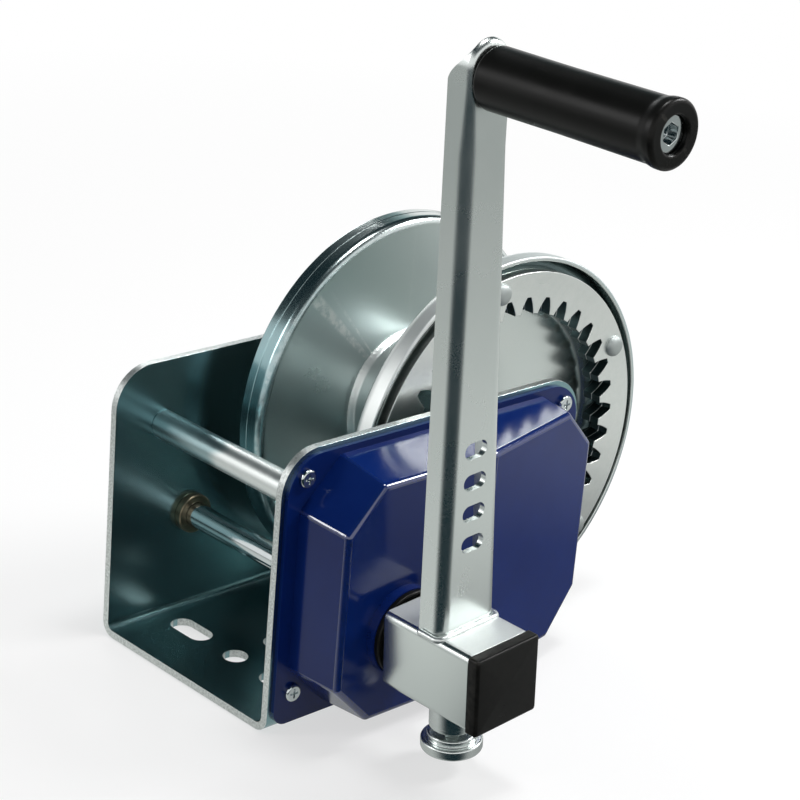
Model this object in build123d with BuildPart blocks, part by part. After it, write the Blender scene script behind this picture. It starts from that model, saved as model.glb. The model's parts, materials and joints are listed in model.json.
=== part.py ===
from build123d import *
import math
import os

# Hand winch. Millimetres and degrees. X runs along the base, the crank is on the -Y side, Z is up,
# and the origin lies on the underside of the base at the middle of its bolt pattern.

# Frame channel
frame_length = 202.0
frame_width = 130.0
frame_height = 146.0
plate_t = 4.0
bend_r = 4.0
plate_corner_r = 22.0
base_hole_d = 13.0
slot_length = 27.0
slot_y = 35.6
bolt_row_x = 66.0
second_hole_x = 39.0

# Fits
run_fit = 0.05
side_gap = 0.3
groove_depth = 0.8
clip_t = 1.2
clip_rim = 3.0

# Drum
drum_x = 67.0
drum_base_gap = 2.5
rope_width = 58.0
barrel_r = 38.0
barrel_wall = 3.5
flange_t = 2.5
far_bend_r = 4.0
near_bend_r = 6.0
far_rim = 15.6
near_rim = 18.6
rim_gap = 4.9
rim_groove_w = 1.2
rim_groove_depth = 0.5
pocket_slope = 5.0
seat_lip = 8.0
seat_depth = 5.8
axle_r = 10.0
axle_head_af = 30.0
axle_head_t = 9.0
axle_tail = 3.0
drum_bush_r = 16.0
drum_bush_collar_r = 20.0
drum_bush_collar_t = 6.0
drum_bush_inner = 5.0
spacer_r = 14.0

# Gears
pressure_angle = math.radians(20.0)
ring_teeth = 35
ring_shift = 0.25
ring_tip = 0.7
ring_root = 1.35
root_play = 0.2
ring_phase = 3.38
ring_outer_r = 93.6
ring_wall = 13.4875
gear_plate_t = 6.0
counter_pinion_teeth = 10
counter_gear_teeth = 37
drive_pinion_teeth = 14
drive_module = 3.0
drive_addendum = 1.0
drive_dedendum = 1.25
flank_play = 0.3
flank_steps = 4
counter_angle = 217.4504
drive_angle = 193.3748
rivet_count = 5
rivet_inset = 6.4
rivet_phase = 27.9
rivet_r = 4.0
rivet_head_r = 5.8
rivet_head_t = 3.4
rivet_tail_t = 1.5
rivet_tail_r = 4.6

# Countershaft
pinion_offset = 1.0
counter_r = 9.0
counter_bush_r = 13.0
counter_bush_collar_r = 17.0
counter_bush_collar_t = 4.0
counter_gear_gap = 4.0
counter_gear_t = 8.0
counter_tail = 1.8

# Drive shaft and brake
shaft_r = 6.5
shaft_bush_r = 9.0
shaft_bush_collar_r = 10.5
shaft_bush_collar_t = 4.4
shaft_tail = 3.5
drive_pinion_gap = 3.5
drive_pinion_t = 9.0
drive_pinion_neck = 1.0
brake_sleeve_r = 10.0
brake_flange_r = 27.0
brake_flange_t = 4.0
friction_t = 2.0
ratchet_t = 5.0
ratchet_teeth = 12
ratchet_outer_r = 33.5
ratchet_root_r = 28.0
ratchet_land = 4.0
ratchet_phase = 101.5
brake_boss_r = 15.0

# Pawl
pawl_x = 7.6
pawl_z = 47.5
pawl_line_r = 31.0
pawl_nose_gap = 0.4
pawl_lift = 9.0
pawl_eye_r = 8.0
pawl_pin_r = 5.0
pawl_journal_r = 4.0
pawl_tail = 1.5
pawl_bite = 2.0
pawl_heel = 13.0
pawl_heel_rise = 1.0
pawl_back = 7.0

# Stay between the plates
stay_x = -70.7
stay_z = 111.5
stay_r = 7.5
stay_bore_r = 4.5
stay_bolt_r = 4.0
stay_bolt_af = 13.0
stay_head_t = 5.5
stay_nut_t = 6.8
stay_washer_r = 8.5
stay_washer_t = 1.6
stay_bolt_tail = 2.5

# Cover
cover_t = 2.0
cover_depth = 34.0
cover_left_gap = 7.9
cover_right_gap = 12.675
cover_low_gap = 7.2
cover_high_gap = 6.8
cover_chamfer = 24.0
cover_draft = 2.5
cover_top_draft = 5.0
cover_edge_r = 3.0
cover_bend_offset = 17.8
cover_slope = 10.8
cover_lip_left = 7.5
cover_lip_right = 2.5
cover_lip_low = 5.5
cover_lip_high = 3.0
cover_corner_r = 8.0
cover_top_corner_r = 20.0
cover_boss_r = 22.5
cover_boss_t = 5.0
screw_left_inset = 10.35
screw_right_inset = 11.0
screw_low_inset = 16.7
screw_low_right_inset = 10.0
screw_high_inset = 10.6
screw_r = 1.9
screw_head_r = 4.6
screw_head_t = 2.6
screw_head_edge = 1.2
recess_length = 5.0
recess_width = 1.1
recess_depth = 1.4
seal_r = 22.0
seal_t = 3.0
seal_edge = 1.0
boss_gap = 1.2

# Crank
crank_lean = math.radians(-4.284)
hub_width = 40.0
hub_wall = 3.0
hub_corner_r = 4.0
hub_gap = 1.5
hub_length = 55.5
block_fit = 0.15
block_length = 41.8
block_washer_r = 12.0
block_washer_t = 2.0
block_nut_af = 19.0
block_nut_t = 9.0
block_tail = 2.0
cap_t = 6.5
cap_edge = 1.5
cap_plug_wall = 2.0
cap_plug_length = 5.0
arm_front = 35.5
arm_depth = 14.0
arm_t = 3.0
arm_foot_w = 36.7
arm_tip_w = 24.5
arm_tip_v = 286.7
arm_edge_r = 3.5
arm_cut_v = 281.0
arm_cut_end_v = 296.0
arm_cut_lean = 0.3
arm_slot_length = 14.0
arm_slot_width = 8.0
arm_slot_v = 63.7
arm_slot_pitch = 15.6
arm_slot_count = 4

# Grip
grip_v = 282.4
grip_r = 14.0
grip_collar_r = 14.8
grip_collar_w = 4.5
grip_length = 98.6
grip_end_r = 2.0
grip_bolt_r = 5.0
grip_head_r = 7.75
grip_head_t = 8.0
grip_head_inset = 2.5
grip_socket_af = 8.0
grip_socket_depth = 5.0
grip_washer_r = 9.0
grip_washer_t = 1.0
grip_nut_af = 16.0
grip_nut_t = 7.0
grip_bolt_tail = 2.0

# Release plunger under the crank hub
plunger_offset = 27.5
sleeve_r = 11.2
sleeve_wall = 2.5
sleeve_length = 16.3
sleeve_floor = 2.0
pin_r = 4.0
pin_reach = 7.2
collar_t = 2.0
knob_r = 15.0
knob_gap = 2.7
knob_t = 5.8
knob_collar_r = 12.0
knob_collar_t = 3.3
knob_edge = 1.5
knob_grasp = 6.5
spring_r = 6.2
spring_wire_r = 0.5
spring_turns = 3.5

# Positions that follow from the sizes
half_w = frame_width / 2
inner_w = half_w - plate_t
ring_root_r = ring_outer_r - ring_wall
ring_module = ring_root_r / (ring_teeth / 2 + ring_root)
ring_r = ring_module * ring_teeth / 2
ring_distance = ring_module * (ring_teeth - counter_pinion_teeth) / 2
drive_distance = drive_module * (counter_gear_teeth + drive_pinion_teeth) / 2
ring_tip_r = ring_r - ring_tip * ring_module
drum_flange_r = ring_outer_r + rim_gap + flange_t
drum_z = plate_t + drum_base_gap + drum_flange_r
drum_spot = (drum_x, drum_z)
seat_in_r = ring_tip_r + seat_lip
pocket_r = seat_in_r - pocket_slope
rivet_pitch_r = ring_root_r + rivet_inset


def polar(spot, radius, degrees):
    """Point at a radius and angle from a spot in the X-Z plane."""
    turn = math.radians(degrees)
    return (spot[0] + radius * math.cos(turn), spot[1] + radius * math.sin(turn))


counter_spot = polar(drum_spot, ring_distance, counter_angle)
drive_spot = polar(counter_spot, drive_distance, drive_angle)
drive_x = drive_spot[0]
drive_z = drive_spot[1]
pawl_spot = (drive_x + pawl_x, drive_z + pawl_z)
stay_spot = (stay_x, stay_z)
counter_gear_r = drive_module * (counter_gear_teeth / 2 + drive_addendum)
cover_left = drive_x - ratchet_outer_r - cover_left_gap
cover_right = counter_spot[0] + counter_gear_r + cover_right_gap
cover_low = counter_spot[1] - counter_gear_r - cover_low_gap
cover_high = counter_spot[1] + counter_gear_r + cover_high_gap
cover_bend_x = counter_spot[0] - cover_bend_offset
lip_left = cover_left - cover_lip_left
lip_right = cover_right + cover_lip_right
lip_low = cover_low - cover_lip_low
lip_high = cover_high + cover_lip_high
screw_spots = [(lip_left + screw_left_inset, lip_low + screw_low_inset),
               (lip_left + screw_left_inset, lip_high - screw_high_inset),
               (lip_right - screw_right_inset, lip_low + screw_low_right_inset),
               (lip_right - screw_right_inset, lip_high - screw_high_inset)]

disc_y = rope_width / 2
disc_out_y = disc_y + flange_t
gear_back_y = -disc_out_y - seat_depth
gear_mid_y = gear_back_y - gear_plate_t
gear_front_y = gear_mid_y - gear_plate_t
counter_gear_y = -half_w - counter_gear_gap
counter_clip_y = counter_gear_y - counter_gear_t
drive_pinion_y = -half_w - drive_pinion_gap
brake_y = drive_pinion_y - drive_pinion_t - drive_pinion_neck
friction_back_y = brake_y - brake_flange_t
ratchet_y = friction_back_y - friction_t
friction_front_y = ratchet_y - ratchet_t
brake_hub_y = friction_front_y - friction_t
cover_face_y = -half_w - cover_depth
boss_face_y = cover_face_y - cover_boss_t
seal_face_y = boss_face_y - seal_t
block_y = seal_face_y - boss_gap
hub_y = seal_face_y - hub_gap
block_end_y = block_y - block_length
block_nut_y = block_end_y - block_washer_t
shaft_end_y = block_nut_y - block_nut_t - block_tail
cap_y = hub_y - hub_length
arm_y = hub_y - arm_front
arm_back_y = arm_y + arm_depth
arm_web_y = arm_y + arm_t
grip_y = arm_y - grip_washer_t - side_gap
grip_end_y = grip_y - grip_length
grip_head_y = grip_end_y + grip_head_inset
plunger_y = hub_y - plunger_offset
hub_half = hub_width / 2
sleeve_low_v = -hub_half - sleeve_length
collar_low_v = -hub_half - side_gap - collar_t
knob_top_v = sleeve_low_v - knob_gap
knob_flange_v = knob_top_v - knob_collar_t
knob_low_v = knob_flange_v - knob_t
crank_up = (math.sin(crank_lean), 0, math.cos(crank_lean))
crank_side = (math.cos(crank_lean), 0, -math.sin(crank_lean))
grip_spot = (drive_x + grip_v * crank_up[0], drive_z + grip_v * crank_up[2])


def front(y):
    """Plane facing the crank side; sketch x is X, sketch y is Z and extrusions run to -Y."""
    return Plane(origin=(0, y, 0), x_dir=(1, 0, 0), z_dir=(0, -1, 0))


def crank_front(y):
    """Plane facing the crank side, about the drive shaft, with sketch y running up the arm."""
    return Plane(origin=(drive_x, y, drive_z), x_dir=crank_side, z_dir=(0, -1, 0))


def crank_level(v):
    """Plane square to the plunger at a height v along the crank."""
    spot = (drive_x + v * crank_up[0], plunger_y, drive_z + v * crank_up[2])
    return Plane(origin=spot, x_dir=crank_side, z_dir=crank_up)


def crank_profile():
    """Plane through the crank's middle; sketch x is -Y and sketch y runs up the arm."""
    return Plane(origin=(drive_x, 0, drive_z), x_dir=(0, -1, 0), z_dir=[-s for s in crank_side])


def bar_y(spots, radius, back, face, mode=Mode.ADD):
    """Cylinders along Y between two y values."""
    with BuildSketch(front(back)) as rounds:
        with Locations(*spots):
            Circle(radius)
    extrude(rounds.sketch, amount=back - face, mode=mode)


def hex_y(spot, across, back, face, mode=Mode.ADD):
    """Hexagon bar along Y between two y values."""
    with BuildSketch(front(back)) as hexagon:
        with Locations(spot):
            RegularPolygon(across / 2, 6, major_radius=False, rotation=30)
    extrude(hexagon.sketch, amount=back - face, mode=mode)


def bar_v(radius, low, high, mode=Mode.ADD):
    """Cylinder on the plunger axis between two heights along the crank."""
    with BuildSketch(crank_level(low)) as rounds:
        Circle(radius)
    extrude(rounds.sketch, amount=high - low, mode=mode)


def clip_y(spot, radius, back):
    """Open retaining ring in a shaft groove that starts at a y value."""
    with BuildSketch(front(back)) as ring:
        with Locations(spot):
            Circle(radius + clip_rim)
            Circle(radius - groove_depth, mode=Mode.SUBTRACT)
            Rectangle(radius, radius + clip_rim, align=(Align.CENTER, Align.MIN), mode=Mode.SUBTRACT)
    extrude(ring.sketch, amount=clip_t)


def groove_y(spot, radius, back):
    """Groove for a retaining ring in a shaft of the given radius."""
    with BuildSketch(front(back)) as ring:
        with Locations(spot):
            Circle(radius + clip_rim)
            Circle(radius - groove_depth, mode=Mode.SUBTRACT)
    extrude(ring.sketch, amount=clip_t, mode=Mode.SUBTRACT)


def pressed_dish(points, bend, side):
    """Pressed sheet turned about the drum axis, from a bent line of radius and y."""
    with BuildSketch(Plane(origin=(drum_x, 0, drum_z))) as sheet:
        with BuildLine():
            FilletPolyline(*points, radius=bend)
            offset(amount=flange_t, side=side)
        make_face()
    revolve(sheet.sketch, axis=Axis((drum_x, 0, drum_z), (0, 1, 0)))


def involute(turn):
    return math.tan(turn) - turn


def tooth_half(teeth, module, shift, radius):
    """Half angle of an involute tooth at a radius."""
    base = module * teeth / 2 * math.cos(pressure_angle)
    turn = math.acos(min(1.0, base / radius))
    pitch_half = (math.pi / 2 + 2 * shift * math.tan(pressure_angle)) / teeth
    return pitch_half + involute(pressure_angle) - involute(turn)


def gear_face(spot, teeth, module, shift, root, tip, play, phase):
    """Face of a gear about a spot; phase is the angle of one tooth's middle."""
    base = module * teeth / 2 * math.cos(pressure_angle)
    start = max(root, base)
    flank = [start + (tip - start) * i / flank_steps for i in range(flank_steps + 1)]
    if root < base:
        flank.insert(0, root)
    thin = play / (module * teeth)
    points = []
    for k in range(teeth):
        middle = phase + 360.0 * k / teeth
        for r in flank:
            half = math.degrees(tooth_half(teeth, module, shift, r) - thin)
            points.append(polar(spot, r, middle - half))
        for r in reversed(flank):
            half = math.degrees(tooth_half(teeth, module, shift, r) - thin)
            points.append(polar(spot, r, middle + half))
    with BuildLine() as teeth_line:
        Polyline(*points, close=True)
    make_face(teeth_line.edges())


# Teeth stand in mesh: the gap of the ring nearest the countershaft takes a tooth of its pinion
ring_pitch = 360.0 / ring_teeth
gap_number = round((counter_angle - ring_phase) / ring_pitch)
gap_lead = ring_phase + gap_number * ring_pitch - counter_angle
counter_pinion_phase = counter_angle + gap_lead * ring_teeth / counter_pinion_teeth
counter_gear_phase = drive_angle
drive_pinion_phase = drive_angle + 180.0 + 180.0 / drive_pinion_teeth
counter_pinion_tip_r = ring_root_r - ring_distance - root_play * ring_module
counter_pinion_root_r = ring_tip_r - ring_distance - root_play * ring_module

with BuildPart() as frame_channel:
    with BuildSketch(Plane.YZ.offset(-frame_length / 2)) as channel_profile:
        with BuildLine():
            Polyline(
                (-half_w, frame_height), (-half_w, 0), (half_w, 0), (half_w, frame_height),
                (inner_w, frame_height), (inner_w, plate_t), (-inner_w, plate_t),
                (-inner_w, frame_height), close=True,
            )
        make_face()
        fillet(channel_profile.vertices().group_by(Axis.Y)[1], radius=bend_r)
        fillet(channel_profile.vertices().group_by(Axis.Y)[0], radius=bend_r + plate_t)
    extrude(amount=frame_length)
    fillet(frame_channel.edges().filter_by(Axis.Y).group_by(Axis.Z)[-1], radius=plate_corner_r)
    with BuildSketch(Plane.XY):
        with Locations(*[(x, y) for x in (-bolt_row_x, bolt_row_x) for y in (-slot_y, slot_y)]):
            SlotOverall(slot_length, base_hole_d, rotation=90)
        with Locations((-bolt_row_x, 0), (bolt_row_x, 0), (-second_hole_x, 0)):
            Circle(base_hole_d / 2)
    extrude(amount=plate_t, mode=Mode.SUBTRACT)
    for back, face in ((half_w, inner_w), (-inner_w, -half_w)):
        bar_y([drum_spot], axle_r, back, face, Mode.SUBTRACT)
        bar_y([drive_spot], shaft_bush_r, back, face, Mode.SUBTRACT)
        bar_y([stay_spot], stay_bolt_r, back, face, Mode.SUBTRACT)
    bar_y([counter_spot], counter_bush_r, -inner_w, -half_w, Mode.SUBTRACT)
    bar_y([pawl_spot], pawl_pin_r, -inner_w, -half_w, Mode.SUBTRACT)
    bar_y(screw_spots, screw_r, -inner_w, -half_w, Mode.SUBTRACT)

with BuildPart() as stay_tube:
    bar_y([stay_spot], stay_r, inner_w, -inner_w)
    bar_y([stay_spot], stay_bore_r, inner_w, -inner_w, Mode.SUBTRACT)

stay_nut_y = -half_w - stay_washer_t
with BuildPart() as stay_bolt:
    hex_y(stay_spot, stay_bolt_af, half_w + stay_head_t, half_w)
    bar_y([stay_spot], stay_bolt_r, half_w, stay_nut_y - stay_nut_t - stay_bolt_tail)

with BuildPart() as stay_washer:
    bar_y([stay_spot], stay_washer_r, -half_w, stay_nut_y)
    bar_y([stay_spot], stay_bolt_r, -half_w, stay_nut_y, Mode.SUBTRACT)

with BuildPart() as stay_nut:
    hex_y(stay_spot, stay_bolt_af, stay_nut_y, stay_nut_y - stay_nut_t)
    bar_y([stay_spot], stay_bolt_r, stay_nut_y, stay_nut_y - stay_nut_t, Mode.SUBTRACT)

with BuildPart() as drum_axle:
    hex_y(drum_spot, axle_head_af, half_w + axle_head_t, half_w)
    bar_y([drum_spot], axle_r, half_w, -half_w - axle_tail)
    groove_y(drum_spot, axle_r, -half_w)

with BuildPart() as axle_clip:
    clip_y(drum_spot, axle_r, -half_w)

bush_end_y = disc_out_y + drum_bush_collar_t
with BuildPart() as axle_spacers:
    bar_y([drum_spot], spacer_r, inner_w, bush_end_y + side_gap)
    bar_y([drum_spot], spacer_r, -bush_end_y - side_gap, -inner_w)
    bar_y([drum_spot], axle_r, inner_w, -inner_w, Mode.SUBTRACT)

with BuildPart() as drum_bushes:
    bar_y([drum_spot], drum_bush_collar_r, bush_end_y, disc_out_y)
    bar_y([drum_spot], drum_bush_r, disc_out_y, disc_y - drum_bush_inner)
    bar_y([drum_spot], drum_bush_r, -disc_y + drum_bush_inner, -disc_out_y)
    bar_y([drum_spot], drum_bush_collar_r, -disc_out_y, -bush_end_y)
    bar_y([drum_spot], axle_r + run_fit, bush_end_y, -bush_end_y, Mode.SUBTRACT)

with BuildPart() as drum_barrel:
    bar_y([drum_spot], barrel_r, disc_y, -disc_y)
    bar_y([drum_spot], barrel_r - barrel_wall, disc_y, -disc_y, Mode.SUBTRACT)

far_edge_y = disc_y + far_rim
near_edge_y = -disc_y - near_rim
with BuildPart() as flange_far:
    pressed_dish(
        [(drum_bush_r, disc_y), (drum_flange_r, disc_y), (drum_flange_r, far_edge_y)], far_bend_r,
        Side.LEFT,
    )
    groove_y_far = (disc_y + far_edge_y) / 2 + rim_groove_w
    with BuildSketch(front(groove_y_far)):
        with Locations(drum_spot):
            Circle(drum_flange_r + rim_groove_depth)
            Circle(drum_flange_r - rim_groove_depth, mode=Mode.SUBTRACT)
    extrude(amount=rim_groove_w, mode=Mode.SUBTRACT)

rivet_spots = [polar(drum_spot, rivet_pitch_r, rivet_phase + 360.0 * k / rivet_count)
               for k in range(rivet_count)]
seat_y = gear_back_y + flange_t
with BuildPart() as flange_near:
    pressed_dish(
        [(drum_bush_r, -disc_y), (pocket_r, -disc_y), (seat_in_r, seat_y), (drum_flange_r, seat_y),
         (drum_flange_r, near_edge_y)], near_bend_r, Side.RIGHT,
    )
    bar_y(rivet_spots, rivet_r, seat_y, gear_back_y, Mode.SUBTRACT)

with BuildPart() as ring_gear_front:
    with BuildSketch(front(gear_mid_y)):
        with Locations(drum_spot):
            Circle(ring_outer_r)
        with BuildSketch(mode=Mode.SUBTRACT):
            gear_face(drum_spot, ring_teeth, ring_module, ring_shift, ring_tip_r, ring_root_r,
                      -flank_play, ring_phase)
    extrude(amount=gear_plate_t)
    bar_y(rivet_spots, rivet_r, gear_mid_y, gear_front_y, Mode.SUBTRACT)

with BuildPart() as ring_gear_back:
    with BuildSketch(front(gear_back_y)):
        with Locations(drum_spot):
            Circle(ring_outer_r)
        with BuildSketch(mode=Mode.SUBTRACT):
            gear_face(drum_spot, ring_teeth, ring_module, ring_shift, ring_tip_r, ring_root_r,
                      -flank_play, ring_phase)
    extrude(amount=gear_plate_t)
    bar_y(rivet_spots, rivet_r, gear_back_y, gear_mid_y, Mode.SUBTRACT)

with BuildPart() as gear_rivets:
    for spot in rivet_spots:
        head_y = gear_front_y - rivet_head_t
        with BuildSketch(Plane(origin=(spot[0], 0, spot[1]))):
            with BuildLine():
                Polyline(
                    (0, head_y), (0, seat_y + rivet_tail_t), (rivet_tail_r, seat_y + rivet_tail_t),
                    (rivet_tail_r, seat_y), (rivet_r, seat_y), (rivet_r, gear_front_y),
                    (rivet_head_r, gear_front_y),
                )
                RadiusArc((rivet_head_r, gear_front_y), (0, head_y),
                          (rivet_head_r ** 2 + rivet_head_t ** 2) / (2 * rivet_head_t))
            make_face()
        revolve(axis=Axis((spot[0], 0, spot[1]), (0, 1, 0)))

with BuildPart() as countershaft:
    with BuildSketch(front(gear_back_y - pinion_offset)):
        gear_face(counter_spot, counter_pinion_teeth, ring_module, ring_shift, counter_pinion_root_r,
                  counter_pinion_tip_r, flank_play, counter_pinion_phase)
    extrude(amount=2 * gear_plate_t)
    bar_y([counter_spot], counter_r, gear_front_y, counter_clip_y - clip_t - counter_tail)
    groove_y(counter_spot, counter_r, counter_clip_y)

pinion_front_y = gear_front_y - pinion_offset
with BuildPart() as countershaft_bush:
    bar_y([counter_spot], counter_bush_r, pinion_front_y - side_gap, counter_gear_y + side_gap)
    bar_y([counter_spot], counter_bush_collar_r, -inner_w + counter_bush_collar_t, -inner_w)
    bar_y([counter_spot], counter_r + run_fit, pinion_front_y, counter_gear_y, Mode.SUBTRACT)

with BuildPart() as countershaft_gear:
    with BuildSketch(front(counter_gear_y)):
        gear_face(counter_spot, counter_gear_teeth, drive_module, 0,
                  drive_module * (counter_gear_teeth / 2 - drive_dedendum), counter_gear_r, flank_play,
                  counter_gear_phase)
        with Locations(counter_spot):
            Circle(counter_r, mode=Mode.SUBTRACT)
    extrude(amount=counter_gear_t)

with BuildPart() as countershaft_clip:
    clip_y(counter_spot, counter_r, counter_clip_y)

with BuildPart() as shaft_bush_far:
    bar_y([drive_spot], shaft_bush_collar_r, inner_w, inner_w - shaft_bush_collar_t)
    bar_y([drive_spot], shaft_bush_r, half_w, inner_w)
    bar_y([drive_spot], shaft_r + run_fit, half_w, inner_w - shaft_bush_collar_t, Mode.SUBTRACT)

with BuildPart() as shaft_bush_near:
    bar_y([drive_spot], shaft_bush_collar_r, -inner_w + shaft_bush_collar_t, -inner_w)
    bar_y([drive_spot], shaft_bush_r, -inner_w, drive_pinion_y + side_gap)
    bar_y([drive_spot], shaft_r + run_fit, -inner_w + shaft_bush_collar_t, drive_pinion_y,
          Mode.SUBTRACT)

shaft_clip_y = half_w + side_gap + clip_t
with BuildPart() as drive_shaft:
    bar_y([drive_spot], shaft_r, half_w + shaft_tail, shaft_end_y)
    groove_y(drive_spot, shaft_r, shaft_clip_y)

with BuildPart() as shaft_clip:
    clip_y(drive_spot, shaft_r, shaft_clip_y)

with BuildPart() as drive_pinion:
    with BuildSketch(front(drive_pinion_y)):
        gear_face(drive_spot, drive_pinion_teeth, drive_module, 0,
                  drive_module * (drive_pinion_teeth / 2 - drive_dedendum),
                  drive_module * (drive_pinion_teeth / 2 + drive_addendum), flank_play, drive_pinion_phase)
    extrude(amount=drive_pinion_t)
    bar_y([drive_spot], brake_boss_r, drive_pinion_y - drive_pinion_t, brake_y)
    bar_y([drive_spot], brake_flange_r, brake_y, friction_back_y)
    bar_y([drive_spot], brake_sleeve_r, friction_back_y, brake_hub_y)
    bar_y([drive_spot], shaft_r, drive_pinion_y, brake_hub_y, Mode.SUBTRACT)

with BuildPart() as friction_discs:
    bar_y([drive_spot], brake_flange_r, friction_back_y, ratchet_y)
    bar_y([drive_spot], brake_flange_r, friction_front_y, brake_hub_y)
    bar_y([drive_spot], brake_sleeve_r, friction_back_y, brake_hub_y, Mode.SUBTRACT)

with BuildPart() as ratchet:
    ratchet_points = []
    for k in range(ratchet_teeth):
        step = ratchet_phase + 360.0 * k / ratchet_teeth
        ratchet_points.append(polar(drive_spot, ratchet_root_r, step))
        ratchet_points.append(polar(drive_spot, ratchet_outer_r, step))
        ratchet_points.append(polar(drive_spot, ratchet_outer_r, step + ratchet_land))
    with BuildSketch(front(ratchet_y)):
        with BuildLine():
            Polyline(*ratchet_points, close=True)
        make_face()
        with Locations(drive_spot):
            Circle(brake_sleeve_r + run_fit, mode=Mode.SUBTRACT)
    extrude(amount=ratchet_t)

with BuildPart() as brake_hub:
    bar_y([drive_spot], brake_flange_r, brake_hub_y, brake_hub_y - brake_flange_t)
    bar_y([drive_spot], brake_boss_r, brake_hub_y, block_y)
    bar_y([drive_spot], shaft_r, brake_hub_y, block_y, Mode.SUBTRACT)

# The dropped pawl lies along a line that passes the shaft at pawl_line_r and ends at a tooth's steep face
pawl_reach = math.hypot(pawl_x, pawl_z)
pawl_length = math.sqrt(pawl_reach ** 2 - pawl_line_r ** 2) - pawl_nose_gap
pawl_turn = math.degrees(math.atan2(-pawl_z, -pawl_x)) - math.degrees(math.asin(pawl_line_r / pawl_reach))
pawl_clip_y = friction_front_y - side_gap
with BuildPart() as pawl:
    pawl_way = polar((0, 0), 1, pawl_turn - pawl_lift)
    with BuildSketch(Plane(origin=(pawl_spot[0], ratchet_y, pawl_spot[1]),
                           x_dir=(pawl_way[0], 0, pawl_way[1]), z_dir=(0, -1, 0))):
        Circle(pawl_eye_r)
        with BuildLine():
            Polyline(
                (0, -pawl_eye_r), (pawl_length, -pawl_back), (pawl_length, pawl_bite),
                (pawl_length - pawl_heel, -pawl_heel_rise), (0, pawl_eye_r), close=True,
            )
        make_face()
        Circle(pawl_journal_r + run_fit, mode=Mode.SUBTRACT)
    extrude(amount=ratchet_t)

with BuildPart() as pawl_pin:
    bar_y([pawl_spot], pawl_pin_r, -inner_w, ratchet_y + side_gap)
    bar_y([pawl_spot], pawl_journal_r, ratchet_y + side_gap, pawl_clip_y - clip_t - pawl_tail)
    groove_y(pawl_spot, pawl_journal_r, pawl_clip_y)

with BuildPart() as pawl_clip:
    clip_y(pawl_spot, pawl_journal_r, pawl_clip_y)


def octagon(inset, top_inset):
    """Eight-sided outline of the cover's box, drawn in from its size at the plate."""
    left = cover_left + inset
    right = cover_right - inset
    low = cover_low + inset
    high = cover_high - top_inset
    cut = cover_chamfer - inset
    with BuildLine() as outline:
        Polyline(
            (left + cut, low), (right - cut, low), (right, low + cut), (right, high - cut),
            (right - cut, high), (left + cut, high), (left, high - cut), (left, low + cut), close=True,
        )
    make_face(outline.edges())


def cover_box(wall):
    """Eight-sided box of the cover, drawn in by a wall, with its front sloping back past a bend."""
    face_y = cover_face_y + wall
    with BuildSketch(front(-half_w)) as foot:
        octagon(wall, wall)
    with BuildSketch(front(face_y)) as face:
        octagon(cover_draft + wall, cover_top_draft + wall)
    loft([foot.sketch, face.sketch], ruled=True)
    fall = (lip_right - cover_bend_x) * math.tan(math.radians(cover_slope))
    with BuildSketch(Plane.XY.offset(lip_low)) as wedge:
        with BuildLine():
            Polyline(
                (cover_bend_x, face_y), (lip_right, face_y + fall), (lip_right, face_y - cover_depth),
                (cover_bend_x, face_y - cover_depth), close=True,
            )
        make_face()
    extrude(wedge.sketch, amount=lip_high - lip_low, mode=Mode.SUBTRACT)


with BuildPart() as cover_hollow:
    cover_box(cover_t)
    hollow_edges = [e for e in cover_hollow.edges() if e.center().Y < -half_w - cover_t]
    fillet(hollow_edges, radius=cover_edge_r - cover_t)

with BuildPart() as cover:
    cover_box(0)
    box_edges = [e for e in cover.edges() if e.center().Y < -half_w - cover_t]
    fillet(box_edges, radius=cover_edge_r)
    with BuildSketch(front(-half_w)) as cover_flange:
        with Locations((lip_left, lip_low)):
            Rectangle(lip_right - lip_left, lip_high - lip_low, align=Align.MIN)
        fillet(cover_flange.vertices().group_by(Axis.Y)[-1], radius=cover_top_corner_r)
        fillet(cover_flange.vertices().group_by(Axis.Y)[0], radius=cover_corner_r)
        with Locations(*screw_spots):
            Circle(screw_r, mode=Mode.SUBTRACT)
    extrude(amount=cover_t)
    bar_y([drive_spot], cover_boss_r, cover_face_y + cover_t, boss_face_y)
    add(cover_hollow.part, mode=Mode.SUBTRACT)
    bar_y([drive_spot], brake_boss_r + side_gap, cover_face_y + 2 * cover_t, boss_face_y, Mode.SUBTRACT)

with BuildPart() as cover_screws:
    screw_face_y = -half_w - cover_t
    bar_y(screw_spots, screw_head_r, screw_face_y, screw_face_y - screw_head_t)
    fillet(cover_screws.faces().group_by(Axis.Y)[0].edges(), radius=screw_head_edge)
    bar_y(screw_spots, screw_r, -inner_w, screw_face_y)
    with BuildSketch(front(screw_face_y - screw_head_t + recess_depth)):
        with Locations(*screw_spots):
            Rectangle(recess_length, recess_width)
            Rectangle(recess_width, recess_length)
    extrude(amount=recess_depth, mode=Mode.SUBTRACT)

with BuildPart() as seal_collar:
    bar_y([drive_spot], seal_r, boss_face_y, seal_face_y)
    fillet(seal_collar.faces().sort_by(Axis.Y)[0].edges(), radius=seal_edge)
    bar_y([drive_spot], brake_boss_r + side_gap, boss_face_y, seal_face_y, Mode.SUBTRACT)

bore_width = hub_width - 2 * hub_wall
block_width = bore_width - 2 * block_fit
pin_hole_r = pin_r + side_gap
with BuildPart() as crank_hub:
    with BuildSketch(crank_front(hub_y)):
        RectangleRounded(hub_width, hub_width, hub_corner_r)
        RectangleRounded(bore_width, bore_width, hub_corner_r - hub_wall, mode=Mode.SUBTRACT)
    extrude(amount=hub_length)
    bar_v(pin_hole_r, -hub_half, -hub_half + hub_wall, Mode.SUBTRACT)

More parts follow.
